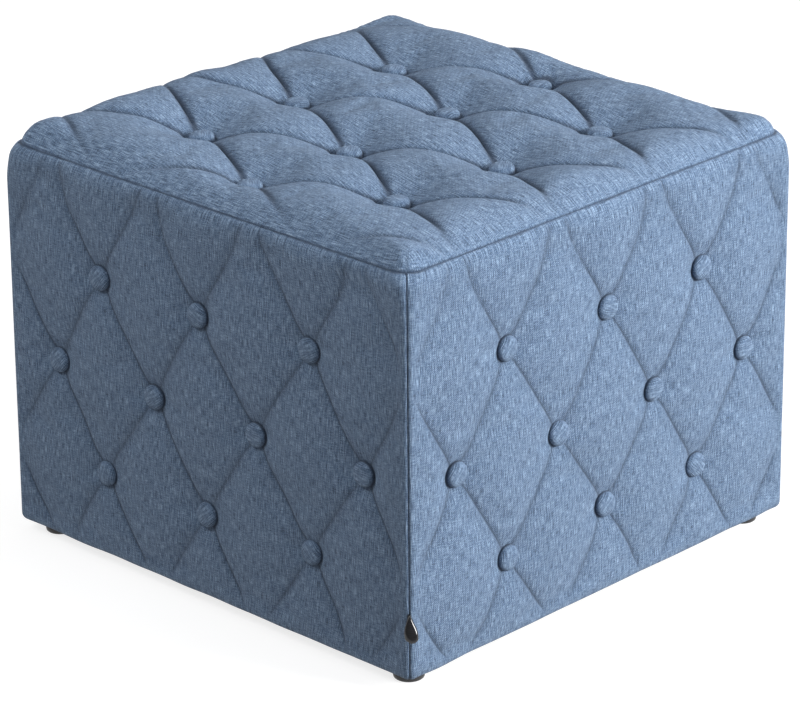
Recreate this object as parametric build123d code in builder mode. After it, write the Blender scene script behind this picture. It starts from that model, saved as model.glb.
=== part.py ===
"""Square button-tufted footstool: a boarded pine carcass under foam and quilted covers."""
import os
from math import ceil, hypot, sqrt

from build123d import *

os.makedirs("parts", exist_ok=True)

# Overall sizes in millimetres, origin on the floor under the centre, front towards -Y
width = 500.0
depth = 500.0
height = 400.0
foot_height = 10.5
crown_rise = 21.0

# Tufting: diamonds across each face, rows of buttons down each side and the lowest of them
diamonds = 4
side_rows = 3
lowest_row = 91.5
side_tuft_depth = 7.5
top_tuft_depth = 19.0
pleat_floor = 4.0

# Quilted covers, fabric on wadding, with thicknesses at the crowns
side_quilt = 10.5
top_quilt = 28.0
fabric_thickness = 1.2
corner_radius = 14.0
seam_corner_radius = 30.0
seam_inset = 7.0
seam_roll = 20.0
corner_draw = 40.0
seam_gap = 0.3
bottom_roll = 7.0
top_roll_run = 60.0
crown_margin = 1.0
turn_under = 30.0
turn_under_gap = 0.4

# Covered buttons, and the twine, toggles and holes that hold them
button_radius = 11.5
button_height = 4.8
button_bevel_height = 3.0
button_bevel_run = 5.5
button_facets = 12
button_clearance = 0.3
button_rest = 0.1
top_button_sink = 2.5
twine_width = 2.0
twine_clearance = 0.3
board_hole = 4.0
toggle_length = 14.0
toggle_width = 5.0
toggle_thickness = 3.0

# Foam, boards and frame
side_foam_thickness = 4.0
seat_foam_thickness = 40.0
side_board_thickness = 5.0
seat_board_thickness = 12.0
post_size = 30.0
rail_thickness = 18.0
bottom_rail_height = 40.0
rail_clearance = 1.0
tenon_length = 12.0
tenon_thickness = 8.0
tenon_shoulder = 5.0
joint_clearance = 0.2

# Underside: dust cover, feet and the bolts moulded into them
dust_cover_thickness = 0.6
dust_cover_inset = 12.0
foot_radius = 14.5
foot_inset = 27.75
foot_taper = 1.0
foot_edge = 1.2
bolt_radius = 3.0
bolt_facets = 8
bolt_bite = 20.0
bolt_point = 1.2
bolt_root = 7.0
bolt_clearance = 0.2

# Blank folded tag in the near corner seam
tag_height = 22.0
tag_above_cover = 37.5
tag_thickness = 0.8
tag_root = 4.0
tag_standoff = 2.6
tag_run = 14.0

# Levels and insets that follow from the sizes above
seam_height = height - crown_rise
cover_bottom = foot_height + dust_cover_thickness
rail_bottom = cover_bottom + fabric_thickness
top_quilt_bottom = height - top_quilt
board_top = top_quilt_bottom - seat_foam_thickness
frame_top = board_top - seat_board_thickness
side_row_pitch = (seam_height - lowest_row) / side_rows
first_row = seam_height - side_row_pitch
top_rail_bottom = first_row + toggle_width / 2 + rail_clearance
foam_inset = side_quilt
board_inset = foam_inset + side_foam_thickness
frame_inset = board_inset + side_board_thickness
twine_hole = twine_width + 2 * twine_clearance

# Each side: the length of its face, its distance from the centre, its turn about Z from the front
sides = {
    "front": (width, depth / 2, 0),
    "right": (depth, width / 2, 90),
    "back": (width, depth / 2, 180),
    "left": (depth, width / 2, 270),
}
corners = {"front_left": (-1, -1), "front_right": (1, -1), "back_right": (1, 1), "back_left": (-1, 1)}


def save(builder, label):
    """Label a finished piece and write it as its own file."""
    builder.part.label = label
    export_step(builder.part, f"parts/{label}.step")


def turned(shape, turn):
    """Builder that holds a piece made at the front, turned about Z to its own side."""
    with BuildPart() as placed:
        with Locations(Location((0, 0, 0), (0, 0, turn))):
            add(shape)
    return placed


# Diamond tufting
def tuft_points(rows, pitch, row_pitch):
    """Button places from the middle of the first row down: short and long rows by turns."""
    points = []
    for row in range(rows):
        count = diamonds - 1 if row % 2 == 0 else diamonds
        for place in range(count):
            points.append(((place - (count - 1) / 2) * pitch, -row * row_pitch))
    return points


def tufted_block(face, pitch, row_pitch, valley, crown, reach):
    """Diamond pillows on a face: two crossing sets of arched ridges, kept where both are solid."""
    slant = hypot(pitch / 2, row_pitch)
    spacing = pitch * row_pitch / slant
    ridges = ceil(reach / spacing)
    end = ridges * spacing
    edge = pleat_floor / 2
    with BuildPart() as block:
        for lean, mode in ((1, Mode.ADD), (-1, Mode.INTERSECT)):
            across = (face.x_dir * row_pitch - face.y_dir * (lean * pitch / 2)) / slant
            section = Plane(face.origin, x_dir=across, z_dir=across.cross(face.z_dir))
            with BuildSketch(section):
                with BuildLine():
                    for ridge in range(-ridges, ridges):
                        pleat = (ridge * spacing, valley)
                        next_pleat = (ridge * spacing + spacing, valley)
                        start = (pleat[0] + edge, valley)
                        finish = (next_pleat[0] - edge, valley)
                        Line(pleat, start)
                        ThreePointArc(start, (pleat[0] + spacing / 2, crown), finish)
                        Line(finish, next_pleat)
                    Polyline((end, valley), (end, 0), (-end, 0), (-end, valley))
                make_face()
            extrude(amount=end, both=True, mode=mode)
    return block.part


def rim_rise(pitch, row_pitch, tuft_depth):
    """Height of the pillows over the pleats at the rim of a button that lies on them."""
    slant = hypot(pitch / 2, row_pitch)
    half = pitch * row_pitch / slant / 2 - pleat_floor / 2
    arch_radius = (half**2 + tuft_depth**2) / (2 * tuft_depth)
    from_pleat = button_radius * max(row_pitch, pitch / 2) / slant - pleat_floor / 2
    return sqrt(arch_radius**2 - (half - from_pleat) ** 2) - (arch_radius - tuft_depth)


def side_points(span):
    """Button places on a side."""
    return tuft_points(side_rows, span / diamonds, side_row_pitch)


def side_face(reach, inset):
    """Plane of a front face at some inset from the crowns, its origin in the first row of buttons."""
    return Plane((0, -(reach - inset), first_row), x_dir=(1, 0, 0), z_dir=(0, -1, 0))


top_rows = diamonds - 1
top_row_pitch = depth / diamonds
top_face = Plane((0, (top_rows - 1) / 2 * top_row_pitch, top_quilt_bottom), x_dir=(1, 0, 0), z_dir=(0, 0, 1))
top_points = tuft_points(top_rows, width / diamonds, top_row_pitch)

# Blank tag: out of the corner seam along its diagonal, then back along the front face
seam_out = corner_radius * (1 - sqrt(0.5))
tag_exit = (seam_out - width / 2 - tag_standoff, seam_out - depth / 2 - tag_standoff)
tag_start = (tag_exit[0] + tag_standoff + tag_root, tag_exit[1] + tag_standoff + tag_root)
tag_end = (tag_exit[0] + tag_run, tag_thickness - depth / 2)
tag_bottom = cover_bottom + tag_above_cover

with BuildPart() as seam_tag:
    with BuildSketch(Plane.XY.offset(tag_bottom)):
        with BuildLine():
            Polyline(tag_start, tag_exit, tag_end)
        trace(line_width=tag_thickness)
    extrude(amount=tag_height)
save(seam_tag, "seam_tag")

with BuildPart() as tag_slot:
    with BuildSketch(Plane.XY.offset(tag_bottom - seam_gap)):
        with BuildLine():
            Line(tag_start, tag_exit)
        trace(line_width=tag_thickness + seam_gap)
    extrude(amount=tag_height + 2 * seam_gap)

# Outline of the covers in plan: the corners are drawn in towards the top seam
with BuildPart() as outline:
    with BuildSketch(Plane.XY.offset(cover_bottom)):
        RectangleRounded(width, depth, corner_radius)
    extrude(amount=seam_height - corner_draw - cover_bottom)
    with BuildSketch(Plane.XY.offset(seam_height - corner_draw)):
        RectangleRounded(width, depth, corner_radius)
    with BuildSketch(Plane.XY.offset(seam_height)):
        RectangleRounded(width, depth, seam_corner_radius)
    loft(ruled=True)

# Side covers: tufted, rolled in at the top seam, mitred at the corners, turned under below
side_valley = side_quilt - side_tuft_depth
for side, (span, reach, turn) in sides.items():
    face = side_face(reach, foam_inset)
    block = tufted_block(
        face, span / diamonds, side_row_pitch, side_valley, side_quilt, hypot(span / 2, seam_height)
    )
    inner = reach - foam_inset
    mitre = span / 2 - seam_gap * sqrt(0.5)
    heel = (bottom_roll - reach, cover_bottom)
    wall_bottom = (-reach, cover_bottom + bottom_roll)
    wall_top = (-reach, seam_height - seam_roll)
    seam = (seam_inset - reach, seam_height - seam_gap / 2)
    with BuildPart() as side_cover:
        add(block)
        with BuildSketch(Plane.YZ):
            with BuildLine():
                Line((-inner, cover_bottom), heel)
                TangentArc(heel, wall_bottom, tangent=(-1, 0))
                Line(wall_bottom, wall_top)
                TangentArc(wall_top, seam, tangent=(0, 1))
                Polyline(seam, (-inner, seam[1]), (-inner, cover_bottom))
            make_face()
        extrude(amount=span, both=True, mode=Mode.INTERSECT)
        with Locations(Location((0, 0, 0), (0, 0, -turn))):
            add(outline.part, mode=Mode.INTERSECT)
        with BuildSketch(Plane.XY):
            with BuildLine():
                Polyline(
                    (-mitre, -reach),
                    (mitre, -reach),
                    (mitre - foam_inset, -inner),
                    (foam_inset - mitre, -inner),
                    close=True,
                )
            make_face()
        extrude(amount=height, mode=Mode.INTERSECT)
        with BuildSketch(Plane.XY.offset(cover_bottom)):
            with Locations((0, heel[0])):
                Rectangle(
                    span - 2 * (frame_inset + post_size + turn_under_gap),
                    turn_under,
                    align=(Align.CENTER, Align.MIN),
                )
        extrude(amount=fabric_thickness)
        with BuildSketch(face):
            with Locations(*side_points(span)):
                Rectangle(twine_hole, twine_hole)
        extrude(amount=side_quilt, mode=Mode.SUBTRACT)
    cover = turned(side_cover.part, turn)
    if side in ("front", "left"):
        with cover:
            add(tag_slot.part, mode=Mode.SUBTRACT)
    save(cover, f"{side}_cover")


# Top cover: deep tufts that roll down to the seam and tuck in between the side covers
def top_section(reach):
    """Section of the top cover one way: tucked in below the seam, rolled down at the edges above it."""
    edge = reach - seam_inset
    tuck = reach - foam_inset - seam_gap
    seam = seam_height + seam_gap / 2
    crest = height + crown_margin
    with BuildLine() as section:
        Line((0, crest), (edge - top_roll_run, crest))
        TangentArc((edge - top_roll_run, crest), (edge, seam), tangent=(1, 0))
        Polyline((edge, seam), (tuck, seam), (tuck, top_quilt_bottom), (0, top_quilt_bottom))
        mirror(about=Plane.YZ)
    return section.line


top_valley = top_quilt - top_tuft_depth
block = tufted_block(top_face, width / diamonds, top_row_pitch, top_valley, top_quilt, hypot(width, depth))
with BuildPart() as top_cover:
    add(block)
    for plane, reach, length in ((Plane.YZ, depth / 2, width), (Plane.XZ, width / 2, depth)):
        with BuildSketch(plane):
            with BuildLine():
                add(top_section(reach))
            make_face()
        extrude(amount=length, both=True, mode=Mode.INTERSECT)
    with BuildSketch(Plane.XY.offset(seam_height)):
        Rectangle(width, depth)
        RectangleRounded(width, depth, seam_corner_radius, mode=Mode.SUBTRACT)
    extrude(amount=top_quilt, mode=Mode.SUBTRACT)
    with BuildSketch(top_face.offset(top_valley - top_button_sink)):
        with Locations(*top_points):
            RegularPolygon(button_radius + button_clearance, button_facets)
    extrude(amount=top_quilt, mode=Mode.SUBTRACT)
    with BuildSketch(top_face):
        with Locations(*top_points):
            Rectangle(twine_hole, twine_hole)
    extrude(amount=top_quilt, mode=Mode.SUBTRACT)
save(top_cover, "top_cover")

# Covered button: a disc with a wide bevelled crown in flat facets, because there are so many of them
with BuildPart() as button:
    with BuildSketch():
        RegularPolygon(button_radius, button_facets)
    extrude(amount=button_height)
    rim = button.faces().sort_by(Axis.Z)[-1]
    chamfer(rim.edges(), length=button_bevel_run, length2=button_bevel_height, reference=rim)


def tie_group(label, face, points, seat, backing, turn):
    """Buttons on a face, the twine behind each of them and the toggle that the twine is tied to."""
    with BuildPart(face.offset(seat)) as buttons:
        with Locations(*points):
            add(button.part)
    with BuildPart() as ties:
        with BuildSketch(face.offset(-backing)):
            with Locations(*points):
                Rectangle(twine_width, twine_width)
        extrude(amount=backing + seat)
    with BuildPart() as toggles:
        with BuildSketch(face.offset(-backing - toggle_thickness)):
            with Locations(*points):
                Rectangle(toggle_length, toggle_width)
        extrude(amount=toggle_thickness)
    save(turned(buttons.part, turn), f"{label}_buttons")
    save(turned(ties.part, turn), f"{label}_ties")
    save(turned(toggles.part, turn), f"{label}_toggles")


side_backing = side_foam_thickness + side_board_thickness
for side, (span, reach, turn) in sides.items():
    side_seat = side_valley + rim_rise(span / diamonds, side_row_pitch, side_tuft_depth) + button_rest
    tie_group(side, side_face(reach, foam_inset), side_points(span), side_seat, side_backing, turn)
top_backing = seat_foam_thickness + seat_board_thickness
tie_group("top", top_face, top_points, top_valley - top_button_sink, top_backing, 0)


# Foam and boards, pierced for the twine
def side_sheet(span, reach, inset, end_inset, sheet_top, thickness, hole):
    """Upright sheet behind a front face, its inner side at the inset, pierced behind every button."""
    with BuildPart() as sheet:
        with BuildSketch(Plane.XZ.offset(reach - inset)):
            with Locations((0, rail_bottom)):
                Rectangle(span - 2 * end_inset, sheet_top - rail_bottom, align=(Align.CENTER, Align.MIN))
        extrude(amount=thickness)
        with BuildSketch(side_face(reach, inset)):
            with Locations(*side_points(span)):
                Rectangle(hole, hole)
        extrude(amount=thickness, mode=Mode.SUBTRACT)
    return sheet.part


def seat_sheet(base, inset, thickness, hole):
    """Level sheet across the stool, pierced under every top button."""
    with BuildPart() as sheet:
        with BuildSketch(Plane.XY.offset(base)):
            Rectangle(width - 2 * inset, depth - 2 * inset)
            with Locations((0, top_face.origin.Y)):
                with Locations(*top_points):
                    Rectangle(hole, hole, mode=Mode.SUBTRACT)
        extrude(amount=thickness)
    return sheet


for side, (span, reach, turn) in sides.items():
    laps_ends = side in ("front", "back")
    foam_end = foam_inset if laps_ends else board_inset
    board_end = board_inset if laps_ends else frame_inset
    foam = side_sheet(span, reach, board_inset, foam_end, top_quilt_bottom, side_foam_thickness, twine_hole)
    board = side_sheet(span, reach, frame_inset, board_end, board_top, side_board_thickness, board_hole)
    save(turned(foam, turn), f"{side}_foam")
    save(turned(board, turn), f"{side}_board")
save(seat_sheet(frame_top, frame_inset, seat_board_thickness, board_hole), "seat_board")
save(seat_sheet(board_top, board_inset, seat_foam_thickness, twine_hole), "seat_foam")

# Frame: rails flush with the outside of the posts and tenoned into them
rails = {"top": (top_rail_bottom, frame_top - top_rail_bottom), "bottom": (rail_bottom, bottom_rail_height)}
tenon_inset = (rail_thickness - tenon_thickness) / 2
for side, (span, reach, turn) in sides.items():
    outer = reach - frame_inset
    length = span - 2 * (frame_inset + post_size)
    for level, (base, rail_height) in rails.items():
        with BuildPart() as frame_rail:
            with BuildSketch(Plane.XY.offset(base)):
                with Locations((0, -outer)):
                    Rectangle(length, rail_thickness, align=(Align.CENTER, Align.MIN))
            extrude(amount=rail_height)
            with BuildSketch(Plane.XY.offset(base + tenon_shoulder)):
                with Locations((0, tenon_inset - outer)):
                    Rectangle(length + 2 * tenon_length, tenon_thickness, align=(Align.CENTER, Align.MIN))
            extrude(amount=rail_height - 2 * tenon_shoulder)
        save(turned(frame_rail.part, turn), f"{side}_{level}_rail")

# Corner posts: mortises for the four rails that meet there, and a blind hole for the foot's bolt
post_x = width / 2 - frame_inset
post_y = depth / 2 - frame_inset
foot_x = width / 2 - foot_inset
foot_y = depth / 2 - foot_inset
mortise_depth = tenon_length + joint_clearance
mortise_width = tenon_thickness + 2 * joint_clearance
mortise_inset = tenon_inset - joint_clearance
mortise_end = post_size - mortise_depth
for corner, (way_x, way_y) in corners.items():
    align = (Align.MAX if way_x > 0 else Align.MIN, Align.MAX if way_y > 0 else Align.MIN)
    with BuildPart() as corner_post:
        with BuildSketch(Plane.XY.offset(cover_bottom)):
            with Locations((way_x * post_x, way_y * post_y)):
                Rectangle(post_size, post_size, align=align)
        extrude(amount=frame_top - cover_bottom)
        for base, rail_height in rails.values():
            with BuildSketch(Plane.XY.offset(base + tenon_shoulder - joint_clearance)):
                with Locations((way_x * (post_x - mortise_end), way_y * (post_y - mortise_inset))):
                    Rectangle(mortise_depth, mortise_width, align=align)
                with Locations((way_x * (post_x - mortise_inset), way_y * (post_y - mortise_end))):
                    Rectangle(mortise_width, mortise_depth, align=align)
            extrude(amount=rail_height - 2 * (tenon_shoulder - joint_clearance), mode=Mode.SUBTRACT)
        with BuildSketch(Plane.XY.offset(cover_bottom)):
            with Locations((way_x * foot_x, way_y * foot_y)):
                RegularPolygon(bolt_radius + bolt_clearance, bolt_facets)
        extrude(amount=bolt_bite + bolt_clearance, mode=Mode.SUBTRACT)
    save(corner_post, f"{corner}_post")

# Feet: low round glides that taper down to an eased edge, each moulded round the head of its bolt
with BuildPart() as foot:
    with BuildSketch(Plane.XZ):
        with BuildLine():
            Polyline(
                (0, 0),
                (foot_radius - foot_taper - foot_edge, 0),
                (foot_radius - foot_taper, foot_edge),
                (foot_radius, foot_height),
                (0, foot_height),
                close=True,
            )
        make_face()
    revolve(axis=Axis.Z)
    with BuildSketch(Plane.XY.offset(foot_height)):
        RegularPolygon(bolt_radius + bolt_clearance, bolt_facets)
    extrude(amount=-bolt_root, mode=Mode.SUBTRACT)
with BuildPart() as feet:
    with GridLocations(2 * foot_x, 2 * foot_y, 2, 2):
        add(foot.part)
save(feet, "feet")

with BuildPart() as bolt:
    with BuildSketch(Plane.XY.offset(foot_height - bolt_root)):
        RegularPolygon(bolt_radius, bolt_facets)
    extrude(amount=bolt_root + dust_cover_thickness + bolt_bite)
    chamfer(bolt.faces().sort_by(Axis.Z)[-1].edges(), length=bolt_point)
with BuildPart() as foot_bolts:
    with GridLocations(2 * foot_x, 2 * foot_y, 2, 2):
        add(bolt.part)
save(foot_bolts, "foot_bolts")

# Dust cover under the frame and the turned-under covers, slit for the bolts
with BuildPart() as dust_sheet:
    with BuildSketch(Plane.XY.offset(foot_height)):
        Rectangle(width - 2 * dust_cover_inset, depth - 2 * dust_cover_inset)
        with GridLocations(2 * foot_x, 2 * foot_y, 2, 2):
            RegularPolygon(bolt_radius + bolt_clearance, bolt_facets, mode=Mode.SUBTRACT)
    extrude(amount=dust_cover_thickness)
save(dust_sheet, "dust_cover")
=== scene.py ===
"""Looks of the square button-tufted footstool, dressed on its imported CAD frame."""
import math
from collections import namedtuple

import bmesh
import bpy
import numpy as np
from mathutils import Matrix, Vector


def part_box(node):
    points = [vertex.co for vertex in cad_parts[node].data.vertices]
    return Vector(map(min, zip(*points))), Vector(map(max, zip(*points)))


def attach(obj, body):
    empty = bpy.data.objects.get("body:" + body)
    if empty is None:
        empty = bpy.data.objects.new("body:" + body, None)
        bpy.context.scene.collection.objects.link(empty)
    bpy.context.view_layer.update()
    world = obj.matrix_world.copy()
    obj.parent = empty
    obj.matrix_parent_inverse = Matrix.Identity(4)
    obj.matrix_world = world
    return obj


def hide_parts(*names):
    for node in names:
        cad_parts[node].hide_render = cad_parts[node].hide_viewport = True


bl_info = {
    "name": "Tufted footstool",
    "version": (1, 0, 0),
    "blender": (4, 5, 0),
    "location": "View3D > Sidebar > Footstool",
    "description": "Dresses the footstool's CAD frame in quilted covers, buttons, seams and trim",
    "category": "Object",
}

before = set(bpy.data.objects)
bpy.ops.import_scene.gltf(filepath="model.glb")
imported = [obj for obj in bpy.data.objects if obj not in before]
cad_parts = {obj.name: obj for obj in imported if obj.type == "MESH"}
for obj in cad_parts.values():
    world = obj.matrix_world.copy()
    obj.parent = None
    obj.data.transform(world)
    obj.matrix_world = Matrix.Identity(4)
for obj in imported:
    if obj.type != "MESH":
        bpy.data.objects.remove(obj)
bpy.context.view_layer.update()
BODY = "root"
MM = 0.001
COVER_LOW, COVER_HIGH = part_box("front_cover")
TOP_LOW, TOP_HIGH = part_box("top_cover")
FOAM_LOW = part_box("front_foam")[0]
SIDE_BUTTONS_LOW, SIDE_BUTTONS_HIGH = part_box("front_buttons")
TOP_BUTTONS_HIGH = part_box("top_buttons")[1]
DUST_LOW, DUST_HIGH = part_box("dust_cover")
FEET_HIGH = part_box("feet")[1]
TAG_LOW, TAG_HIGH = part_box("seam_tag")
# The top seam lies just above the side covers
SEAM_HEIGHT = COVER_HIGH.z + 0.15 * MM
# Rows of buttons on a side hang below the seam at an even pitch
CAD_BUTTON = 23 * MM
SIDE_ROW_PITCH = (SIDE_BUTTONS_HIGH.z - SIDE_BUTTONS_LOW.z - CAD_BUTTON) / 2
# Turn of each side about Z from the front
SIDES = {"front": 0, "right": 90, "back": 180, "left": 270}
FACES = ("top", *SIDES)


# Sizes and colours that a user would change
def length(name, description, default):
    """A length property in metres."""
    return bpy.props.FloatProperty(
        name=name, description=description, default=default, precision=5, unit="LENGTH"
    )


def share(name, description, default):
    """A share from none to all of something."""
    return bpy.props.FloatProperty(
        name=name, description=description, default=default, min=0.0, max=1.0, subtype="FACTOR"
    )


def colour(name, description, default):
    """A linear colour."""
    return bpy.props.FloatVectorProperty(
        name=name, description=description, default=default, size=3, min=0.0, max=1.0, subtype="COLOR"
    )


class FootstoolSizes(bpy.types.PropertyGroup):
    """Main sizes of the covers, taken from the CAD frame."""

    half_plan: length("Half plan", "Distance of a side from the centre", -COVER_LOW.y)
    inner_face: length("Inner face", "Distance of the side wadding's back from the centre", -FOAM_LOW.y)
    cover_bottom: length("Cover bottom", "Height of the covers' underside", COVER_LOW.z)
    seam_height: length("Seam height", "Height of the top seam", SEAM_HEIGHT)
    seam_half: length("Seam half", "Distance of the top seam from the centre", TOP_HIGH.x)
    crown_height: length("Crown height", "Height of the top's pillows", TOP_HIGH.z)
    top_bottom: length("Top underside", "Height of the top cover's back", TOP_LOW.z)
    corner_radius: length("Corner radius", "Plan radius of the upright corners", 9 * MM)
    seam_corner_radius: length("Seam corner radius", "Plan radius where the top seam turns", 18 * MM)
    corner_draw: length("Corner draw", "Height over which the corners are drawn in", 34 * MM)
    seam_roll: length("Seam roll", "Height over which the sides roll in to the top seam", 15 * MM)
    bottom_roll: length("Bottom roll", "Radius of the covers' bottom edge", 7.5 * MM)
    turn_under: length("Turn-under", "Width of cover that is turned under and stapled", 30 * MM)


class FootstoolTufting(bpy.types.PropertyGroup):
    """Lay of the buttons and the form of the pillows between them."""

    pitch: length("Pitch", "Distance between buttons in a row", 125 * MM)
    side_row_pitch: length("Side row pitch", "Distance between the rows on a side", SIDE_ROW_PITCH)
    side_first_row: length(
        "Side first row", "Height of the upper row on a side", SEAM_HEIGHT - SIDE_ROW_PITCH
    )
    top_row_pitch: length("Top row pitch", "Distance between the rows on the top", 125 * MM)
    side_depth: length("Side depth", "Depth of the side tufts", 7.5 * MM)
    top_depth: length("Top depth", "Depth of the top tufts", 20 * MM)
    side_ridge: share("Side pleat height", "Height of a side pleat midway between buttons", 0.42)
    top_ridge: share("Top pleat height", "Height of a top pleat midway between buttons", 0.36)
    lip: length("Pleat lip", "Run over which fabric rolls into a pleat", 3.2 * MM)
    steps: bpy.props.IntProperty(
        name="Steps", description="Mesh steps along half a pitch", default=40, min=8, max=64
    )
    seed: bpy.props.IntProperty(name="Seed", description="Seed of the hand-made unevenness", default=7)


class FootstoolTrim(bpy.types.PropertyGroup):
    """Buttons, stitches and small trim."""

    button_radius: length("Button radius", "Radius of a covered button", 11.6 * MM)
    button_rise: length("Button rise", "Height of a covered button on a side", 7.0 * MM)
    top_button_rise: length("Top button rise", "Height of a covered button on the top", 9.6 * MM)
    foot_radius: length("Foot radius", "Radius of a moulded foot", 14.5 * MM)
    stitch_pitch: length("Stitch pitch", "Distance between stitches in the seams", 4.2 * MM)
    stitch_width: length("Stitch width", "Thickness of the seam thread", 0.55 * MM)
    staple_pitch: length("Staple pitch", "Distance between staples under the stool", 42 * MM)
    thread_pitch: length("Thread pitch", "Distance between threads of the weave", 0.85 * MM)


class FootstoolColours(bpy.types.PropertyGroup):
    """Colours of yarns, plastic and timber."""

    yarn_dark: colour("Dark yarn", "Darkest threads of the mixed weave", (0.026, 0.046, 0.088))
    yarn_mid: colour("Middle yarn", "Main colour of the mixed weave", (0.134, 0.216, 0.350))
    yarn_light: colour("Light yarn", "Pale threads of the mixed weave", (0.385, 0.522, 0.715))
    thread: colour("Seam thread", "Sewing thread", (0.020, 0.032, 0.055))
    plastic: colour("Plastic", "Feet", (0.012, 0.012, 0.013))
    satin: colour("Satin", "Blank tag", (0.006, 0.006, 0.007))
    dust_cloth: colour("Dust cloth", "Cloth under the stool", (0.010, 0.010, 0.011))
    pine: colour("Pine", "Posts and rails", (0.620, 0.420, 0.230))


SETTINGS = {
    "footstool_sizes": FootstoolSizes,
    "footstool_tufting": FootstoolTufting,
    "footstool_trim": FootstoolTrim,
    "footstool_colours": FootstoolColours,
}


def sizes():
    """Sizes in use."""
    return bpy.context.scene.footstool_sizes


def tufting():
    """Tufting in use."""
    return bpy.context.scene.footstool_tufting


def trim():
    """Trim in use."""
    return bpy.context.scene.footstool_trim


def colours():
    """Colours in use."""
    return bpy.context.scene.footstool_colours


# Nodes
def feed(tree, socket, value):
    """Give an input socket a plain value, or link it to another socket."""
    if isinstance(value, bpy.types.NodeSocket):
        tree.links.new(value, socket)
    else:
        socket.default_value = value


def add_node(tree, kind, inputs=None, **settings):
    """A node with its settings, and its inputs given as sockets or plain values."""
    node = tree.nodes.new(kind)
    for key, value in settings.items():
        setattr(node, key, value)
    for key, value in (inputs or {}).items():
        feed(tree, node.inputs[key], value)
    return node


def new_group(kind, name, inputs, outputs):
    """Empty node group with named sockets: its tree, what it is given and what it puts out."""
    tree = bpy.data.node_groups.new(name, kind)
    for way, sockets in (("INPUT", inputs), ("OUTPUT", outputs)):
        for label, value in sockets.items():
            tree.interface.new_socket(label, in_out=way, socket_type=f"NodeSocket{value}")
    return tree, tree.nodes.new("NodeGroupInput").outputs, tree.nodes.new("NodeGroupOutput").inputs


def maths(tree, operation, first, second=0.0, third=0.0):
    """Result socket of a Math node."""
    return add_node(tree, "ShaderNodeMath", {0: first, 1: second, 2: third}, operation=operation).outputs[0]


def mix(tree, factor, first, second):
    """Mixed colour of two, its factor kept from 0 to 1."""
    node = add_node(tree, "ShaderNodeMix", data_type="RGBA")
    for key, socket in ((0, factor), (6, first), (7, second)):
        tree.links.new(socket, node.inputs[key])
    return node.outputs[2]


def noise(tree, across, along, across_size, along_size, detail=1.0):
    """Noise over a flat cloth, its grain size given each way."""
    x = maths(tree, "DIVIDE", across, across_size)
    y = maths(tree, "DIVIDE", along, along_size)
    place = add_node(tree, "ShaderNodeCombineXYZ", {"X": x, "Y": y})
    texture = add_node(
        tree,
        "ShaderNodeTexNoise",
        {"Vector": place.outputs[0], "Scale": 1.0, "Detail": detail, "Roughness": 0.55},
        noise_dimensions="2D",
    )
    return texture.outputs["Fac"]


# Finishes
LOOKS = {"Color": "Color", "Height": "Float", "Roughness": "Float"}


def weave_group():
    """Mixed-yarn plain weave: threads of uneven tone both ways, slubs, and the height of the threads."""
    found = bpy.data.node_groups.get("Mixed weave")
    if found:
        return found
    inputs = {"Cloth": "Vector", "Dark yarn": "Color", "Middle yarn": "Color", "Light yarn": "Color"}
    inputs = {**inputs, "Thread": "Float", "Fold": "Float"}
    tree, given, out = new_group("ShaderNodeTree", "Mixed weave", inputs, LOOKS)
    place = add_node(tree, "ShaderNodeSeparateXYZ", {0: given["Cloth"]})
    across, along, thread = place.outputs["X"], place.outputs["Y"], given["Thread"]
    # Lengths over which a thread keeps its tone, and sizes of slubs and of broad patches
    warp_run, weft_run, slub_run, patch_size = 10 * MM, 6 * MM, 30 * MM, (30 * MM, 55 * MM)
    warp = noise(tree, across, along, thread, warp_run, 0.0)
    weft = noise(tree, across, along, weft_run, thread, 0.0)
    speck = noise(tree, across, along, thread, thread, 0.0)
    slub = noise(tree, across, along, maths(tree, "MULTIPLY", thread, 1.3), slub_run)
    patch = noise(tree, across, along, *patch_size)
    tone = maths(tree, "SUBTRACT", maths(tree, "MULTIPLY", warp, 1.4), 0.70)
    for part, weight in ((weft, 0.9), (speck, 0.9), (patch, 0.08)):
        tone = maths(tree, "MULTIPLY_ADD", maths(tree, "SUBTRACT", part, 0.5), weight, tone)
    rare_slub = maths(tree, "MAXIMUM", maths(tree, "SUBTRACT", slub, 0.60), 0.0)
    pale = maths(tree, "MULTIPLY", rare_slub, 1.5)
    tone = maths(tree, "ADD", tone, pale)
    waves = []
    for way in (across, along):
        turns = maths(tree, "MULTIPLY", maths(tree, "DIVIDE", way, thread), math.pi)
        waves.append(maths(tree, "SINE", turns))
    crossed = maths(tree, "MULTIPLY", *waves)
    tone = maths(tree, "MULTIPLY_ADD", crossed, 0.16, tone)
    # A tone below 0 turns to the dark yarn, one above 0 to the light yarn
    darker = mix(tree, maths(tree, "ADD", tone, 1.0), given["Dark yarn"], given["Middle yarn"])
    lighter = mix(tree, maths(tree, "MAXIMUM", tone, 0.0), darker, given["Light yarn"])
    # Painted shade: where the Fold input is high, the colour turns to the dark yarn, as shade down in folds,
    # seams and button rims
    shaded = mix(tree, maths(tree, "MULTIPLY", given["Fold"], 0.92), lighter, given["Dark yarn"])
    height = maths(tree, "MULTIPLY_ADD", crossed, 0.5, maths(tree, "MULTIPLY", warp, 0.9))
    height = maths(tree, "MULTIPLY_ADD", speck, 0.8, height)
    feed(tree, out["Color"], shaded)
    feed(tree, out["Height"], maths(tree, "ADD", height, pale))
    feed(tree, out["Roughness"], maths(tree, "MULTIPLY_ADD", speck, 0.2, 0.74))
    return tree


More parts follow.
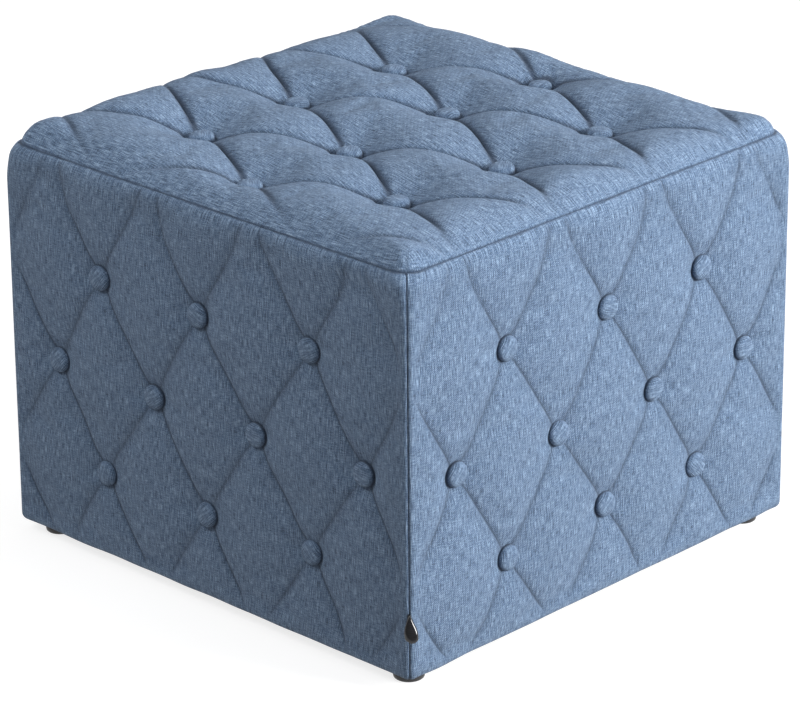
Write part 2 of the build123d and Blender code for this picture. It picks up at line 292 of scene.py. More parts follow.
def speckle_group():
    """Fine unevenness of moulded, painted or raw surfaces on Object coordinates."""
    found = bpy.data.node_groups.get("Fine speckle")
    if found:
        return found
    inputs = {"Place": "Vector", "Base": "Color", "Second": "Color", "Grain": "Vector"}
    inputs = {**inputs, "Roughness": "Float", "Spread": "Float"}
    tree, given, out = new_group("ShaderNodeTree", "Fine speckle", inputs, LOOKS)
    scaled = add_node(
        tree, "ShaderNodeVectorMath", {0: given["Place"], 1: given["Grain"]}, operation="MULTIPLY"
    ).outputs[0]
    fine = add_node(tree, "ShaderNodeTexNoise", {"Vector": scaled, "Scale": 1.0, "Detail": 6.0})
    broad = add_node(tree, "ShaderNodeTexNoise", {"Vector": scaled, "Scale": 0.13, "Detail": 2.0})
    broad_share = maths(tree, "MULTIPLY", broad.outputs["Fac"], 0.35)
    both = maths(tree, "MULTIPLY_ADD", fine.outputs["Fac"], 0.65, broad_share)
    about_middle = maths(tree, "SUBTRACT", both, 0.5)
    tint = maths(tree, "MULTIPLY_ADD", about_middle, 3.0, 0.5)
    feed(tree, out["Color"], mix(tree, tint, given["Base"], given["Second"]))
    feed(tree, out["Height"], both)
    rough = maths(tree, "MULTIPLY_ADD", about_middle, given["Spread"], given["Roughness"])
    feed(tree, out["Roughness"], rough)
    return tree


def start_material(name):
    """New node material: itself, its tree and its Principled shader."""
    material = bpy.data.materials.new(name)
    material.use_nodes = True
    return material, material.node_tree, material.node_tree.nodes["Principled BSDF"]


def dress_shader(tree, shader, group, bump_strength, bump_distance):
    """Feed a shader from a group's colour, roughness and height."""
    bump = add_node(
        tree,
        "ShaderNodeBump",
        {"Strength": bump_strength, "Distance": bump_distance, "Height": group.outputs["Height"]},
    )
    feed(tree, shader.inputs["Base Color"], group.outputs["Color"])
    feed(tree, shader.inputs["Roughness"], group.outputs["Roughness"])
    feed(tree, shader.inputs["Normal"], bump.outputs["Normal"])


def upholstery(name="mixed_weave"):
    """Mixed blue weave that follows a piece's own cloth map, with shade painted into its folds, seams and
    button rims.
    """
    found = bpy.data.materials.get(name)
    if found:
        return found
    material, tree, shader = start_material(name)
    cloth = add_node(tree, "ShaderNodeUVMap", uv_map="cloth")
    # Painted shade: a per-point attribute that darkens the weave in pleats, seams, corners and round buttons
    fold = add_node(tree, "ShaderNodeAttribute", attribute_name="fold")
    inputs = {
        "Cloth": cloth.outputs["UV"],
        "Fold": fold.outputs["Fac"],
        "Dark yarn": (*colours().yarn_dark, 1.0),
        "Middle yarn": (*colours().yarn_mid, 1.0),
        "Light yarn": (*colours().yarn_light, 1.0),
        "Thread": trim().thread_pitch,
    }
    group = add_node(tree, "ShaderNodeGroup", inputs, node_tree=weave_group())
    dress_shader(tree, shader, group, bump_strength=0.85, bump_distance=0.9 * MM)
    shader.inputs["Sheen Weight"].default_value = 0.10
    shader.inputs["Sheen Roughness"].default_value = 0.55
    shader.inputs["Specular IOR Level"].default_value = 0.25
    return material


# Plain finishes: a colour and a second one, or the name of a colour property and what to multiply it by
# for the second one; grains to the metre along each axis; roughness and its spread; bump and its depth
Finish = namedtuple("Finish", "base second grain roughness spread bump depth metallic", defaults=[0.0])
FINISHES = {
    "moulded_plastic": Finish("plastic", 2.2, (900, 900, 900), 0.42, 0.35, 0.25, 0.15 * MM),
    "seam_thread": Finish("thread", 1.9, (1500, 1500, 1500), 0.8, 0.2, 0.4, 0.1 * MM),
    "black_satin": Finish("satin", 3, (250, 250, 3200), 0.13, 0.10, 0.15, 0.05 * MM),
    "black_dust_cloth": Finish("dust_cloth", 3.2, (1400, 1400, 300), 0.92, 0.15, 0.5, 0.25 * MM),
    "pine_upright": Finish("pine", 0.62, (160, 160, 9), 0.62, 0.25, 0.3, 0.3 * MM),
    "pine_crosswise": Finish("pine", 0.62, (9, 160, 160), 0.62, 0.25, 0.3, 0.3 * MM),
    "pine_lengthwise": Finish("pine", 0.62, (160, 9, 160), 0.62, 0.25, 0.3, 0.3 * MM),
    "waxed_twine": Finish(
        (0.55, 0.47, 0.34), (0.36, 0.29, 0.19), (900, 900, 900), 0.75, 0.2, 0.5, 0.2 * MM
    ),
    "pale_plastic": Finish(
        (0.70, 0.69, 0.66), (0.62, 0.61, 0.58), (600, 600, 600), 0.45, 0.2, 0.15, 0.1 * MM
    ),
    "upholstery_foam": Finish(
        (0.80, 0.74, 0.52), (0.62, 0.55, 0.35), (420, 420, 420), 0.9, 0.1, 0.6, 0.4 * MM
    ),
    "brown_hardboard": Finish(
        (0.23, 0.13, 0.07), (0.15, 0.08, 0.04), (500, 500, 500), 0.7, 0.2, 0.3, 0.2 * MM
    ),
    "birch_plywood": Finish(
        (0.66, 0.49, 0.30), (0.50, 0.34, 0.19), (14, 130, 700), 0.6, 0.2, 0.2, 0.2 * MM
    ),
    "staple_wire": Finish(
        (0.62, 0.62, 0.64), (0.45, 0.45, 0.47), (700, 700, 700), 0.35, 0.3, 0.1, 0.05 * MM, 1.0
    ),
    "bolt_steel": Finish(
        (0.60, 0.60, 0.62), (0.44, 0.44, 0.46), (500, 500, 500), 0.35, 0.3, 0.1, 0.1 * MM, 1.0
    ),
}


def plain_finish(name):
    """Material of a plain finish, finely uneven on Object coordinates."""
    found = bpy.data.materials.get(name)
    if found:
        return found
    finish = FINISHES[name]
    base, second = finish.base, finish.second
    if isinstance(base, str):
        base = getattr(colours(), finish.base)
        second = [finish.second * c for c in base]
    material, tree, shader = start_material(name)
    place = tree.nodes.new("ShaderNodeTexCoord")
    inputs = {
        "Place": place.outputs["Object"],
        "Base": (*base, 1.0),
        "Second": (*second, 1.0),
        "Grain": finish.grain,
        "Roughness": finish.roughness,
        "Spread": finish.spread,
    }
    group = add_node(tree, "ShaderNodeGroup", inputs, node_tree=speckle_group())
    dress_shader(tree, shader, group, finish.bump, finish.depth)
    shader.inputs["Metallic"].default_value = finish.metallic
    return material


# Meshes
def add_object(name, data):
    """Object of a mesh, light or camera, linked into the scene."""
    made = bpy.data.objects.new(name, data)
    bpy.context.scene.collection.objects.link(made)
    return made


def make_piece(name, points, faces, material, cloth=None, fold=None, sharp=None):
    """Smooth mesh object at the origin from points and faces, with its cloth map and the shade painted into
    its folds.
    """
    mesh = bpy.data.meshes.new(name)
    mesh.from_pydata(np.asarray(points).tolist(), [], faces)
    mesh.update()
    mesh.shade_smooth()
    if sharp:
        mesh.set_sharp_from_angle(angle=math.radians(sharp))
    if cloth is not None:
        corners = np.empty(len(mesh.loops), np.int32)
        mesh.loops.foreach_get("vertex_index", corners)
        layer = mesh.uv_layers.new(name="cloth")
        layer.data.foreach_set("uv", np.asarray(cloth, np.float32)[corners].ravel())
    # Painted shade for each point, which the weave turns into darker colour
    if fold is not None:
        attribute = mesh.attributes.new("fold", "FLOAT", "POINT")
        attribute.data.foreach_set("value", np.asarray(fold, np.float32))
    mesh.materials.append(material)
    return add_object(name, mesh)


def soft_box(name, centre, span, edge, segments, profile, material, sharp=None):
    """Box about a centre with rounded edges."""
    work = bmesh.new()
    bmesh.ops.create_cube(work, size=1.0)
    bmesh.ops.scale(work, vec=span, verts=work.verts)
    bmesh.ops.translate(work, vec=centre, verts=work.verts)
    bmesh.ops.bevel(
        work, geom=work.edges, offset=edge, segments=segments, profile=profile, affect="EDGES"
    )
    mesh = bpy.data.meshes.new(name)
    work.to_mesh(mesh)
    work.free()
    mesh.shade_smooth()
    if sharp:
        mesh.set_sharp_from_angle(angle=math.radians(sharp))
    mesh.materials.append(material)
    return add_object(name, mesh)


def settle_piece(piece, slot, *nodes):
    """Ride on the frame and stand for CAD nodes, which are hidden; the slot naming the finish is not used."""
    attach(piece, BODY)
    if nodes:
        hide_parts(*nodes)


def turn_about_z(points, degrees):
    """Points turned about the upright axis through the origin."""
    c, s = math.cos(math.radians(degrees)), math.sin(math.radians(degrees))
    turned = np.array(points, float)
    turned[..., 0] = points[..., 0] * c - points[..., 1] * s
    turned[..., 1] = points[..., 0] * s + points[..., 1] * c
    return turned


def smoothstep(low, high, value):
    """Ease from 0 to 1 between two values."""
    t = np.clip((value - low) / (high - low), 0.0, 1.0)
    return t * t * (3 - 2 * t)


def fade(low, high, distance):
    """Ease from 0 to 1 between two distances in millimetres."""
    return smoothstep(low * MM, high * MM, distance)


def uneven(x, y, size, seed, waves=14):
    """Smooth unevenness of about unit height: a sum of seeded waves of about one size."""
    rng = np.random.default_rng(seed)
    total = np.zeros(np.broadcast(x, y).shape)
    for _ in range(waves):
        heading = rng.uniform(0, math.tau)
        wave = rng.uniform(0.7, 1.5) * math.tau / size
        phase = rng.uniform(0, math.tau)
        total += np.sin(wave * (x * math.cos(heading) + y * math.sin(heading)) + phase)
    return total / math.sqrt(waves / 2)


# Diamond tufting
class Tufts:
    """Field of diamond pillows on a flat face, with buttons in short and long rows by turns."""

    rows = (3, 4, 3)
    pull_reach = 45 * MM

    def __init__(self, pitch, row_pitch, first_row, ridge, lips, roll, soft, strays):
        self.pitch, self.row_pitch, self.first_row = pitch, row_pitch, first_row
        self.ridge, self.lips, self.roll, self.soft = ridge, lips, roll, soft
        self.spacing = pitch * row_pitch / math.hypot(pitch / 2, row_pitch)
        places = []
        for row, count in enumerate(self.rows):
            for place in range(count):
                places.append(((place - (count - 1) / 2) * pitch, first_row - row * row_pitch))
        self.places = np.array(places)
        self.strays = np.array(strays) * MM

    def lines(self, x, y):
        """Place counted in pleats of each family: whole numbers lie on a pleat."""
        rise = (y - self.first_row) / (2 * self.row_pitch)
        return x / self.pitch + rise, x / self.pitch - rise

    def from_pleats(self, x, y):
        """Distance from the nearest pleat of each family."""
        a, b = self.lines(x, y)
        return abs(a - np.round(a)) * self.spacing, abs(b - np.round(b)) * self.spacing

    def offsets(self, x, y):
        """Offset from every button, across and up."""
        return x[..., None] - self.places[:, 0], y[..., None] - self.places[:, 1]

    def from_button(self, x, y):
        """Distance from the nearest button, the direction round it, and its number."""
        dx, dy = self.offsets(x, y)
        distance = np.hypot(dx, dy)
        number = distance.argmin(-1)
        distance, dx, dy = (
            np.take_along_axis(values, number[..., None], -1)[..., 0] for values in (distance, dx, dy)
        )
        return distance, np.arctan2(dy, dx), number

    def bulge(self, near, lip):
        """Height of a pillow at a distance from its pleat: a rolled lip under a broad arch."""
        arch = np.clip(1 - (1 - near / (self.spacing / 2)) ** 2, 0, 1)
        return (1 - self.roll) * arch**0.8 + self.roll * (1 - np.exp(-near / lip))

    def rise(self, x, y, button_flat, button_run):
        """Height of the quilting from 0 in a button's dimple to 1 on a crown."""
        near_a, near_b = self.from_pleats(x, y)
        pillow = self.bulge(near_a, self.lips[0])
        pillow *= self.soft + (1 - self.soft) * self.bulge(near_b, self.lips[1])
        out = np.clip((self.from_button(x, y)[0] - button_flat) / button_run, 0, 1)
        return (1 - (1 - out) ** 2) * (self.ridge + (1 - self.ridge) * pillow)

    def crease_shade(self, x, y, width):
        """Painted shade in the pleats: 1 in a pleat, fading within the width, fainter in soft pleats."""
        near_a, near_b = self.from_pleats(x, y)
        soft = (1 - 0.9 * self.soft) * np.exp(-near_b / (width * (1 + 4 * self.soft)))
        # A faint, wide painted shade along the crisp pleats of a field that has soft ones
        halo = self.soft * np.exp(-near_a / (4 * width))
        return np.maximum.reduce([np.exp(-near_a / width), halo, soft])

    def stray(self, x, y):
        """How far the quilting strays from the even lay at a place, as the buttons pull it."""
        dx, dy = self.offsets(x, y)
        pull = np.exp(-(dx**2 + dy**2) / (2 * self.pull_reach**2)) + 1e-5
        return (pull @ self.strays) / pull.sum(-1)[..., None]

    def buttons(self):
        """Places of the buttons as they strayed."""
        return self.places + self.stray(self.places[:, 0], self.places[:, 1])


# Strays of a face's ten buttons as in the photograph, in millimetres across and up, from the upper row down
FRONT_STRAYS = (
    (1, -3), (5, -3), (5, -2), (1, -3), (5, -7), (5, -4), (3, -1), (3, -7), (4, 3), (1, 1)
)
LEFT_STRAYS = (
    (-6, -4), (-6, -6), (6, 0), (0, -2), (-1, -3), (1, -2), (6, 0), (-5, 0), (0, -1), (5, 4)
)
TOP_STRAYS = (
    (-1, -4), (-5, -2), (-3, -2), (2, -1), (-5, -5), (5, 3), (-7, -7), (-4, 3), (-7, -7), (-4, -7)
)
# Fuller and flatter spots of the top as in the photograph: place, lift and reach in millimetres
FULL_SPOTS = (
    (-140, 225, 5, 70), (-45, 228, 4, 45), (-225, 150, 3, 50), (-228, 228, 2, 34),
    (215, -215, -1, 40), (228, 40, 4, 40), (170, 220, -4, 70), (230, 230, -10, 36),
)
# Closer steps of the mesh next to the corners of a side, the top's border and a side's top seam
SIDE_EDGE = np.array([5.2, 4.1, 3.1, 2.2, 1.4, 0.7, 0.0]) * MM
TOP_EDGE = np.array([8.6, 7.0, 5.4, 4.0, 2.8, 1.8, 1.0, 0.4, 0.0]) * MM
SEAM_ROWS = np.array([0, 0.5, 1.0, 1.7]) * MM
# What the cloth simulation holds fast: next to pleats, to buttons and to borders
HELD_PLEAT, HELD_BUTTON, HELD_BORDER = 1.4 * MM, 13 * MM, 4 * MM


def tufts_of(label):
    """Quilting of a face; the two sides out of sight repeat the strays of the two in sight."""
    tuft = tufting()
    if label == "top":
        lips = (1.1 * tuft.lip, 1.1 * tuft.lip)
        row = tuft.top_row_pitch
        return Tufts(tuft.pitch, row, row, tuft.top_ridge, lips, roll=0.5, soft=0.0, strays=TOP_STRAYS)
    lips = (tuft.lip, 3 * tuft.lip)
    row, first_row = tuft.side_row_pitch, tuft.side_first_row
    strays = FRONT_STRAYS if label in ("front", "back") else LEFT_STRAYS
    return Tufts(tuft.pitch, row, first_row, tuft.side_ridge, lips, roll=0.4, soft=0.35, strays=strays)


def cell_corners(grid):
    """Corners of a grid's cells, in order round them."""
    return grid[:-1, :-1], grid[:-1, 1:], grid[1:, 1:], grid[1:, :-1]


def same_pleat(first, second):
    """Whether two places counted in pleats lie on one pleat."""
    on = (abs(first - np.round(first)) < 1e-4) & (abs(second - np.round(second)) < 1e-4)
    return on & (abs(first - second) < 1e-3)


def grid_faces(families):
    """Outward faces of a grid, its squares on a pleat of either family split along that pleat."""
    index = np.arange(families[0].size).reshape(families[0].shape)
    nw, ne, se, sw = cell_corners(index)
    falls = np.zeros(nw.shape, bool)
    climbs = np.zeros(nw.shape, bool)
    for lines in families:
        at_nw, at_ne, at_se, at_sw = cell_corners(lines)
        falls |= same_pleat(at_nw, at_se)
        climbs |= same_pleat(at_ne, at_sw)
    climbs &= ~falls
    faces = []
    for chosen, corners in (
        (~(falls | climbs), (sw, se, ne, nw)),
        (falls, (nw, se, ne)),
        (falls, (nw, sw, se)),
        (climbs, (nw, sw, ne)),
        (climbs, (ne, sw, se)),
    ):
        faces += np.stack([corner[chosen] for corner in corners], 1).tolist()
    return index, faces


def border_of(index):
    """Border of a grid as one loop, from the first corner along the first row."""
    return np.concatenate([index[0, :-1], index[:-1, -1], index[-1, :0:-1], index[:0:-1, 0]])


def close_back(points, faces, loop, rings):
    """Close a pad behind its border: walls through each ring of points, then a flat back."""
    start = len(points)
    last = loop
    for ring in rings:
        here = np.arange(start, start + len(ring))
        faces += np.stack([last, np.roll(last, -1), np.roll(here, -1), here], 1).tolist()
        start += len(ring)
        last = here
    faces.append(last.tolist())
    return np.concatenate([points, *rings]), faces


def outline_point(s, half, radius, full):
    """Point of the plan's rounded outline at a run from a side's middle: along, out, and its facing."""
    straight = half - radius
    keep = 0.8 * full
    total = straight + radius * math.pi / 4
    run = np.where(abs(s) < keep, abs(s), keep + (abs(s) - keep) * (total - keep) / (full - keep))
    turn = np.clip((run - straight) / radius, 0, None)
    along = np.where(turn > 0, straight + radius * np.sin(turn), run)
    out = np.where(turn > 0, straight + radius * np.cos(turn), half)
    return np.sign(s) * along, out, np.sign(s) * np.sin(turn), np.cos(turn)


def blow_up(name, grid, held, slack, most):
    """How far a short cloth simulation moves a quilted face that is held on its pleats and borders."""
    rows, columns = grid.shape[:2]
    nw, ne, se, sw = cell_corners(np.arange(rows * columns).reshape(rows, columns))
    faces = np.stack([nw, sw, se, ne], -1).reshape(-1, 4)
    mesh = bpy.data.meshes.new(name)
    mesh.from_pydata(grid.reshape(-1, 3).tolist(), [], faces.tolist())
    blank = add_object(name, mesh)
    pins = blank.vertex_groups.new(name="held")
    pins.add(np.flatnonzero(held).tolist(), 1.0, "REPLACE")
    cloth = blank.modifiers.new("Cloth", "CLOTH")
    settings = {
        "quality": 4,
        "mass": 0.25,
        "tension_stiffness": 20,
        "compression_stiffness": 20,
        "shear_stiffness": 8,
        "bending_stiffness": 2.0,
        "vertex_group_mass": "held",
        "use_pressure": True,
        "uniform_pressure_force": 3.0,
        "shrink_min": -slack,
    }
    for key, value in settings.items():
        setattr(cloth.settings, key, value)
    cloth.settings.effector_weights.gravity = 0.0
    cloth.collision_settings.use_collision = False
    cloth.collision_settings.use_self_collision = False
    first, last = 1, 20
    cloth.point_cache.frame_start = first
    cloth.point_cache.frame_end = last
    scene = bpy.context.scene
    for step in range(first, last + 1):
        scene.frame_set(step)
    settled = blank.evaluated_get(bpy.context.evaluated_depsgraph_get()).to_mesh()
    moved = np.empty(rows * columns * 3, np.float32)
    settled.vertices.foreach_get("co", moved)
    bpy.data.objects.remove(blank)
    bpy.data.meshes.remove(mesh)
    scene.frame_set(first)
    shift = moved.reshape(rows, columns, 3).astype(float) - grid
    far = np.linalg.norm(shift, axis=-1, keepdims=True)
    return shift * np.minimum(1.0, most / np.maximum(far, 1e-9))


def blown(name, points, held, slack, most):
    """A quilted face blown up between what is held, worked out on every second row and column."""
    shift = blow_up(name, points[::2, ::2], held[::2, ::2], slack, most)
    rows, columns = points.shape[:2]
    fine = np.empty((rows, shift.shape[1], 3))
    fine[::2] = shift
    fine[1::2] = (shift[:-1] + shift[1:]) / 2
    full = np.empty((rows, columns, 3))
    full[:, ::2] = fine
    full[:, 1::2] = (fine[:, :-1] + fine[:, 1:]) / 2
    return points + full


def mirrored(even, edge):
    """Steps from one border to the other, from even steps and closer ones on one half."""
    reach = np.concatenate([even, edge])
    return np.concatenate([-reach[:0:-1], reach])


def made_odd(steps):
    """Steps of a grid, one more where their number is even, so that every second one takes in the ends."""
    if len(steps) % 2 == 0:
        middle = (steps[0] + steps[1]) / 2
        steps = np.insert(steps, 1, middle)
    return steps


def pucker(run, depth, reach, seed):
    """Small gathers along a seam that die out away from it."""
    ripple = uneven(run, 0 * run, 13 * MM, seed, 8) + 0.6 * uneven(run, 0 * run, 6 * MM, seed + 1, 6)
    return ripple * np.exp(-depth / reach)


def rays(heading, number, few, many, strength):
    """Small folds round a button: two counts of waves, each with its shift from button to button."""
    first = np.sin(few[0] * heading + few[1] * number)
    return first + strength * np.sin(many[0] * heading + many[1] * number)


def drawn_in(z):
    """How far a side is drawn in towards the top seam at a height, and the plan radius of its corners."""
    size = sizes()
    run = np.clip((z - (size.seam_height - size.seam_roll)) / size.seam_roll, 0, 1)
    # The roll stops short of lying flat
    tuck = (size.half_plan - size.seam_half) * (1 - np.sqrt(1 - 0.96 * run**2)) / (1 - math.sqrt(0.04))
    draw = smoothstep(size.seam_height - size.corner_draw, size.seam_height, z)
    return tuck, size.corner_radius + (size.seam_corner_radius - size.corner_radius) * draw


def side_rows():
    """Heights of a side's rows from the seam down, how far each is tucked in and its corner radius."""
    size, tuft = sizes(), tufting()
    fall = tuft.side_row_pitch / tuft.steps
    wall_low = size.cover_bottom + size.bottom_roll
    drops = np.arange(1, int((size.seam_height - wall_low) / fall) + 1) * fall
    drops = np.concatenate([SEAM_ROWS, drops])
    roll = size.bottom_roll * np.sin(np.linspace(0, math.pi / 2, 8)[1:])
    heights = np.concatenate([size.seam_height - drops, wall_low - roll, [size.cover_bottom]])
    heights = made_odd(heights[::-1])[::-1]
    tucks = np.zeros(len(heights))
    under = heights < wall_low - 1e-7
    depth = (wall_low - heights[under]) / size.bottom_roll
    tucks[under] = size.bottom_roll * (1 - np.sqrt(np.clip(1 - depth**2, 0, 1)))
    tucks[-1] = size.half_plan - size.inner_face - 1.0 * MM
    seam_tucks, radii = drawn_in(heights)
    tucks += seam_tucks
    least_radius = 2 * MM
    return heights, tucks, np.where(under, np.maximum(size.corner_radius - tucks, least_radius), radii)


def side_cover(side, number):
    """One quilted side cover, laid out as the front and turned to its side."""
    size, tuft = sizes(), tufting()
    field = tufts_of(side)
    seed = tuft.seed + 31 * number
    full = size.half_plan - size.corner_radius * (1 - math.pi / 4)
    runs = mirrored(np.arange(0, full - 6 * MM, tuft.pitch / 2 / tuft.steps), full - SIDE_EDGE)
    heights, tucks, radii = side_rows()
    s, z = np.meshgrid(runs, heights)
    to_corner = full - abs(s)
    to_seam = size.seam_height - z
    # Pleats turn upright where they run up to the top seam
    upright_shift, upright_reach = 16 * MM, 60 * MM
    lay = z - upright_shift * np.clip(1 - to_seam / upright_reach, 0, 1) ** 3
    near_a, near_b = field.from_pleats(s, lay)
    distance, heading, nearest = field.from_button(s, z)
    # The quilting dies out at corners, seam and bottom edge, and is weaker in the upper corners
    upper = smoothstep(tuft.side_first_row, size.seam_height, z)
    hold = fade(0, 24, to_corner) * (1 - 0.7 * upper * (1 - fade(30, 66, to_corner)))
    hold *= smoothstep(size.cover_bottom - 2 * MM, size.cover_bottom + 22 * MM, z)
    shown = hold * fade(0, 5, to_seam)
    hold *= 0.25 + 0.75 * fade(0, 24, to_seam)
    dimple, dimple_run = 8 * MM, 26 * MM
    sink = tuft.side_depth * (1 - field.rise(s, lay, dimple, dimple_run)) * hold
    ray_fade = fade(9, 15, distance) * np.exp(-distance / (16 * MM))
    sink += 0.20 * MM * rays(heading, nearest, few=(9, 2.1), many=(14, 3.3), strength=0.7) * ray_fade * hold
    sink += 0.40 * MM * uneven(s, z, 80 * MM, seed + 3) * fade(0, 20, to_corner)
    sink += 0.22 * MM * pucker(s, to_seam, 14 * MM, seed + 5) * fade(0, 4, to_corner)
    # Grooves of the top seam and the corner seams
    groove = 0.8 * MM
    sink += 1.6 * MM * np.exp(-to_seam / groove) + 1.5 * MM * np.exp(-to_corner / groove)
    stray = fade(0, 40, to_corner) * fade(0, 40, to_seam)
    stray *= fade(0, 40, z - size.cover_bottom)
    stray_s, stray_z = np.moveaxis(field.stray(s, z) * stray[..., None], -1, 0)
    along, out, face_along, face_out = outline_point(
        s, size.half_plan - tucks[:, None], radii[:, None], full
    )
    out = out - sink * face_out
    along = along - sink * face_along + stray_s
    points = np.stack([along, -out, z + stray_z], -1)
    held = (np.minimum(near_a, near_b) < HELD_PLEAT) | (distance < HELD_BUTTON) | (to_corner < HELD_BORDER)
    held |= (to_seam < 3 * MM) | (z < size.cover_bottom + size.bottom_roll)
    held[[0, -1]] = True
    points = blown(f"{side}_blank", points, held, slack=0.003, most=3.0 * MM).reshape(-1, 3)
    index, faces = grid_faces(field.lines(s, lay))
    loop = border_of(index)
    # The back lies flat on the foam, inside the frame of the four sides
    back = points[loop].copy()
    limit = size.inner_face - 0.15 * MM
    back[:, 0] = np.clip(back[:, 0], -limit, limit)
    back[:, 1] = -size.inner_face
    back[:, 2] = np.clip(back[:, 2], size.cover_bottom + 1.2 * MM, size.seam_height - 0.8 * MM)
    ends = np.isin(loop, np.concatenate([index[:, 0], index[:, -1]]))
    back[ends, 0] = np.sign(back[ends, 0]) * limit
    solid, faces = close_back(points, faces, loop, [back])
    # Painted shade: darker in the pleats, in the top and corner seams, and in a ring round each button
    crease_shade = field.crease_shade(s, lay, 1.2 * MM) * shown * fade(2, 12, distance)
    fold = np.maximum.reduce(
        [
            0.9 * crease_shade,
            1 - fade(0.2, 1.4, to_seam),
            0.8 * np.exp(-to_corner / (0.7 * MM)),
            0.9 * (1 - fade(11, 13, distance)),
        ]
    )
    # Every cover has a part of the weave to itself
    cloth = np.stack([s, z + 0.6 * number], -1).reshape(-1, 2)
    flap, flap_faces, flap_cloth = turned_flap(len(solid))
    solid = turn_about_z(np.concatenate([solid, flap]), SIDES[side])
    cloth = np.concatenate([cloth, cloth[loop], flap_cloth])
    # The back, out of sight, is painted fully shaded, and the flap under the stool partly shaded
    fold = np.concatenate([fold.ravel(), np.ones(len(loop)), np.full(len(flap), 0.3)])
    name = f"{side}_quilted_cover"
    piece = make_piece(name, solid, faces + flap_faces, upholstery(), cloth, fold, sharp=80)
    settle_piece(piece, "upholstery_fabric", f"{side}_cover")


def turned_flap(start):
    """Strip of cover turned under the stool, cut narrow at the posts and mitred at the corners."""
    size = sizes()
    post = 50 * MM
    half = size.half_plan - post
    near = size.half_plan - 9.5 * MM
    narrow = size.half_plan - 19.3 * MM
    far = size.half_plan - 7 * MM - size.turn_under
    low, high = size.cover_bottom, size.cover_bottom + 1.1 * MM
    x = np.linspace(-half, half, 61)
    wide = far + 1.2 * MM * uneven(x, 0 * x, size=60 * MM, seed=77)
    step = half + 2 * MM
    outer = np.concatenate([[-near, -step], x, [step, near]])
    inner = np.concatenate([[-narrow, -step], x, [step, narrow]])
    edge = np.concatenate([[narrow, narrow], wide, [narrow, narrow]])
    level = np.zeros(len(outer))
    rows = [
        np.stack([outer, level - near, level + low], -1),
        np.stack([inner, -edge, level + low], -1),
        np.stack([inner, -edge, level + high], -1),
        np.stack([outer, level - near, level + high], -1),
    ]
    count = len(outer)
    points = np.concatenate(rows)
    faces = []
    for row in range(4):
        for i in range(count - 1):
            here = start + row * count + i
            there = start + (row + 1) % 4 * count + i
            faces.append([here, here + 1, there + 1, there])
    faces.append([start + row * count for row in range(4)])
    faces.append([start + row * count + count - 1 for row in (3, 2, 1, 0)])
    return points, faces, points[:, :2]


def square_to_round(x, y, half, radius):
    """Square of points with its corners rounded, the rest left in place."""
    inner = half - radius
    px, py = np.maximum(abs(x) - inner, 0), np.maximum(abs(y) - inner, 0)
    both = (px > 0) & (py > 0)
    scale = np.where(both, np.maximum(px, py) / np.maximum(np.hypot(px, py), 1e-12), 1.0)
    return (
        np.where(both, np.sign(x) * (inner + px * scale), x),
        np.where(both, np.sign(y) * (inner + py * scale), y),
    )


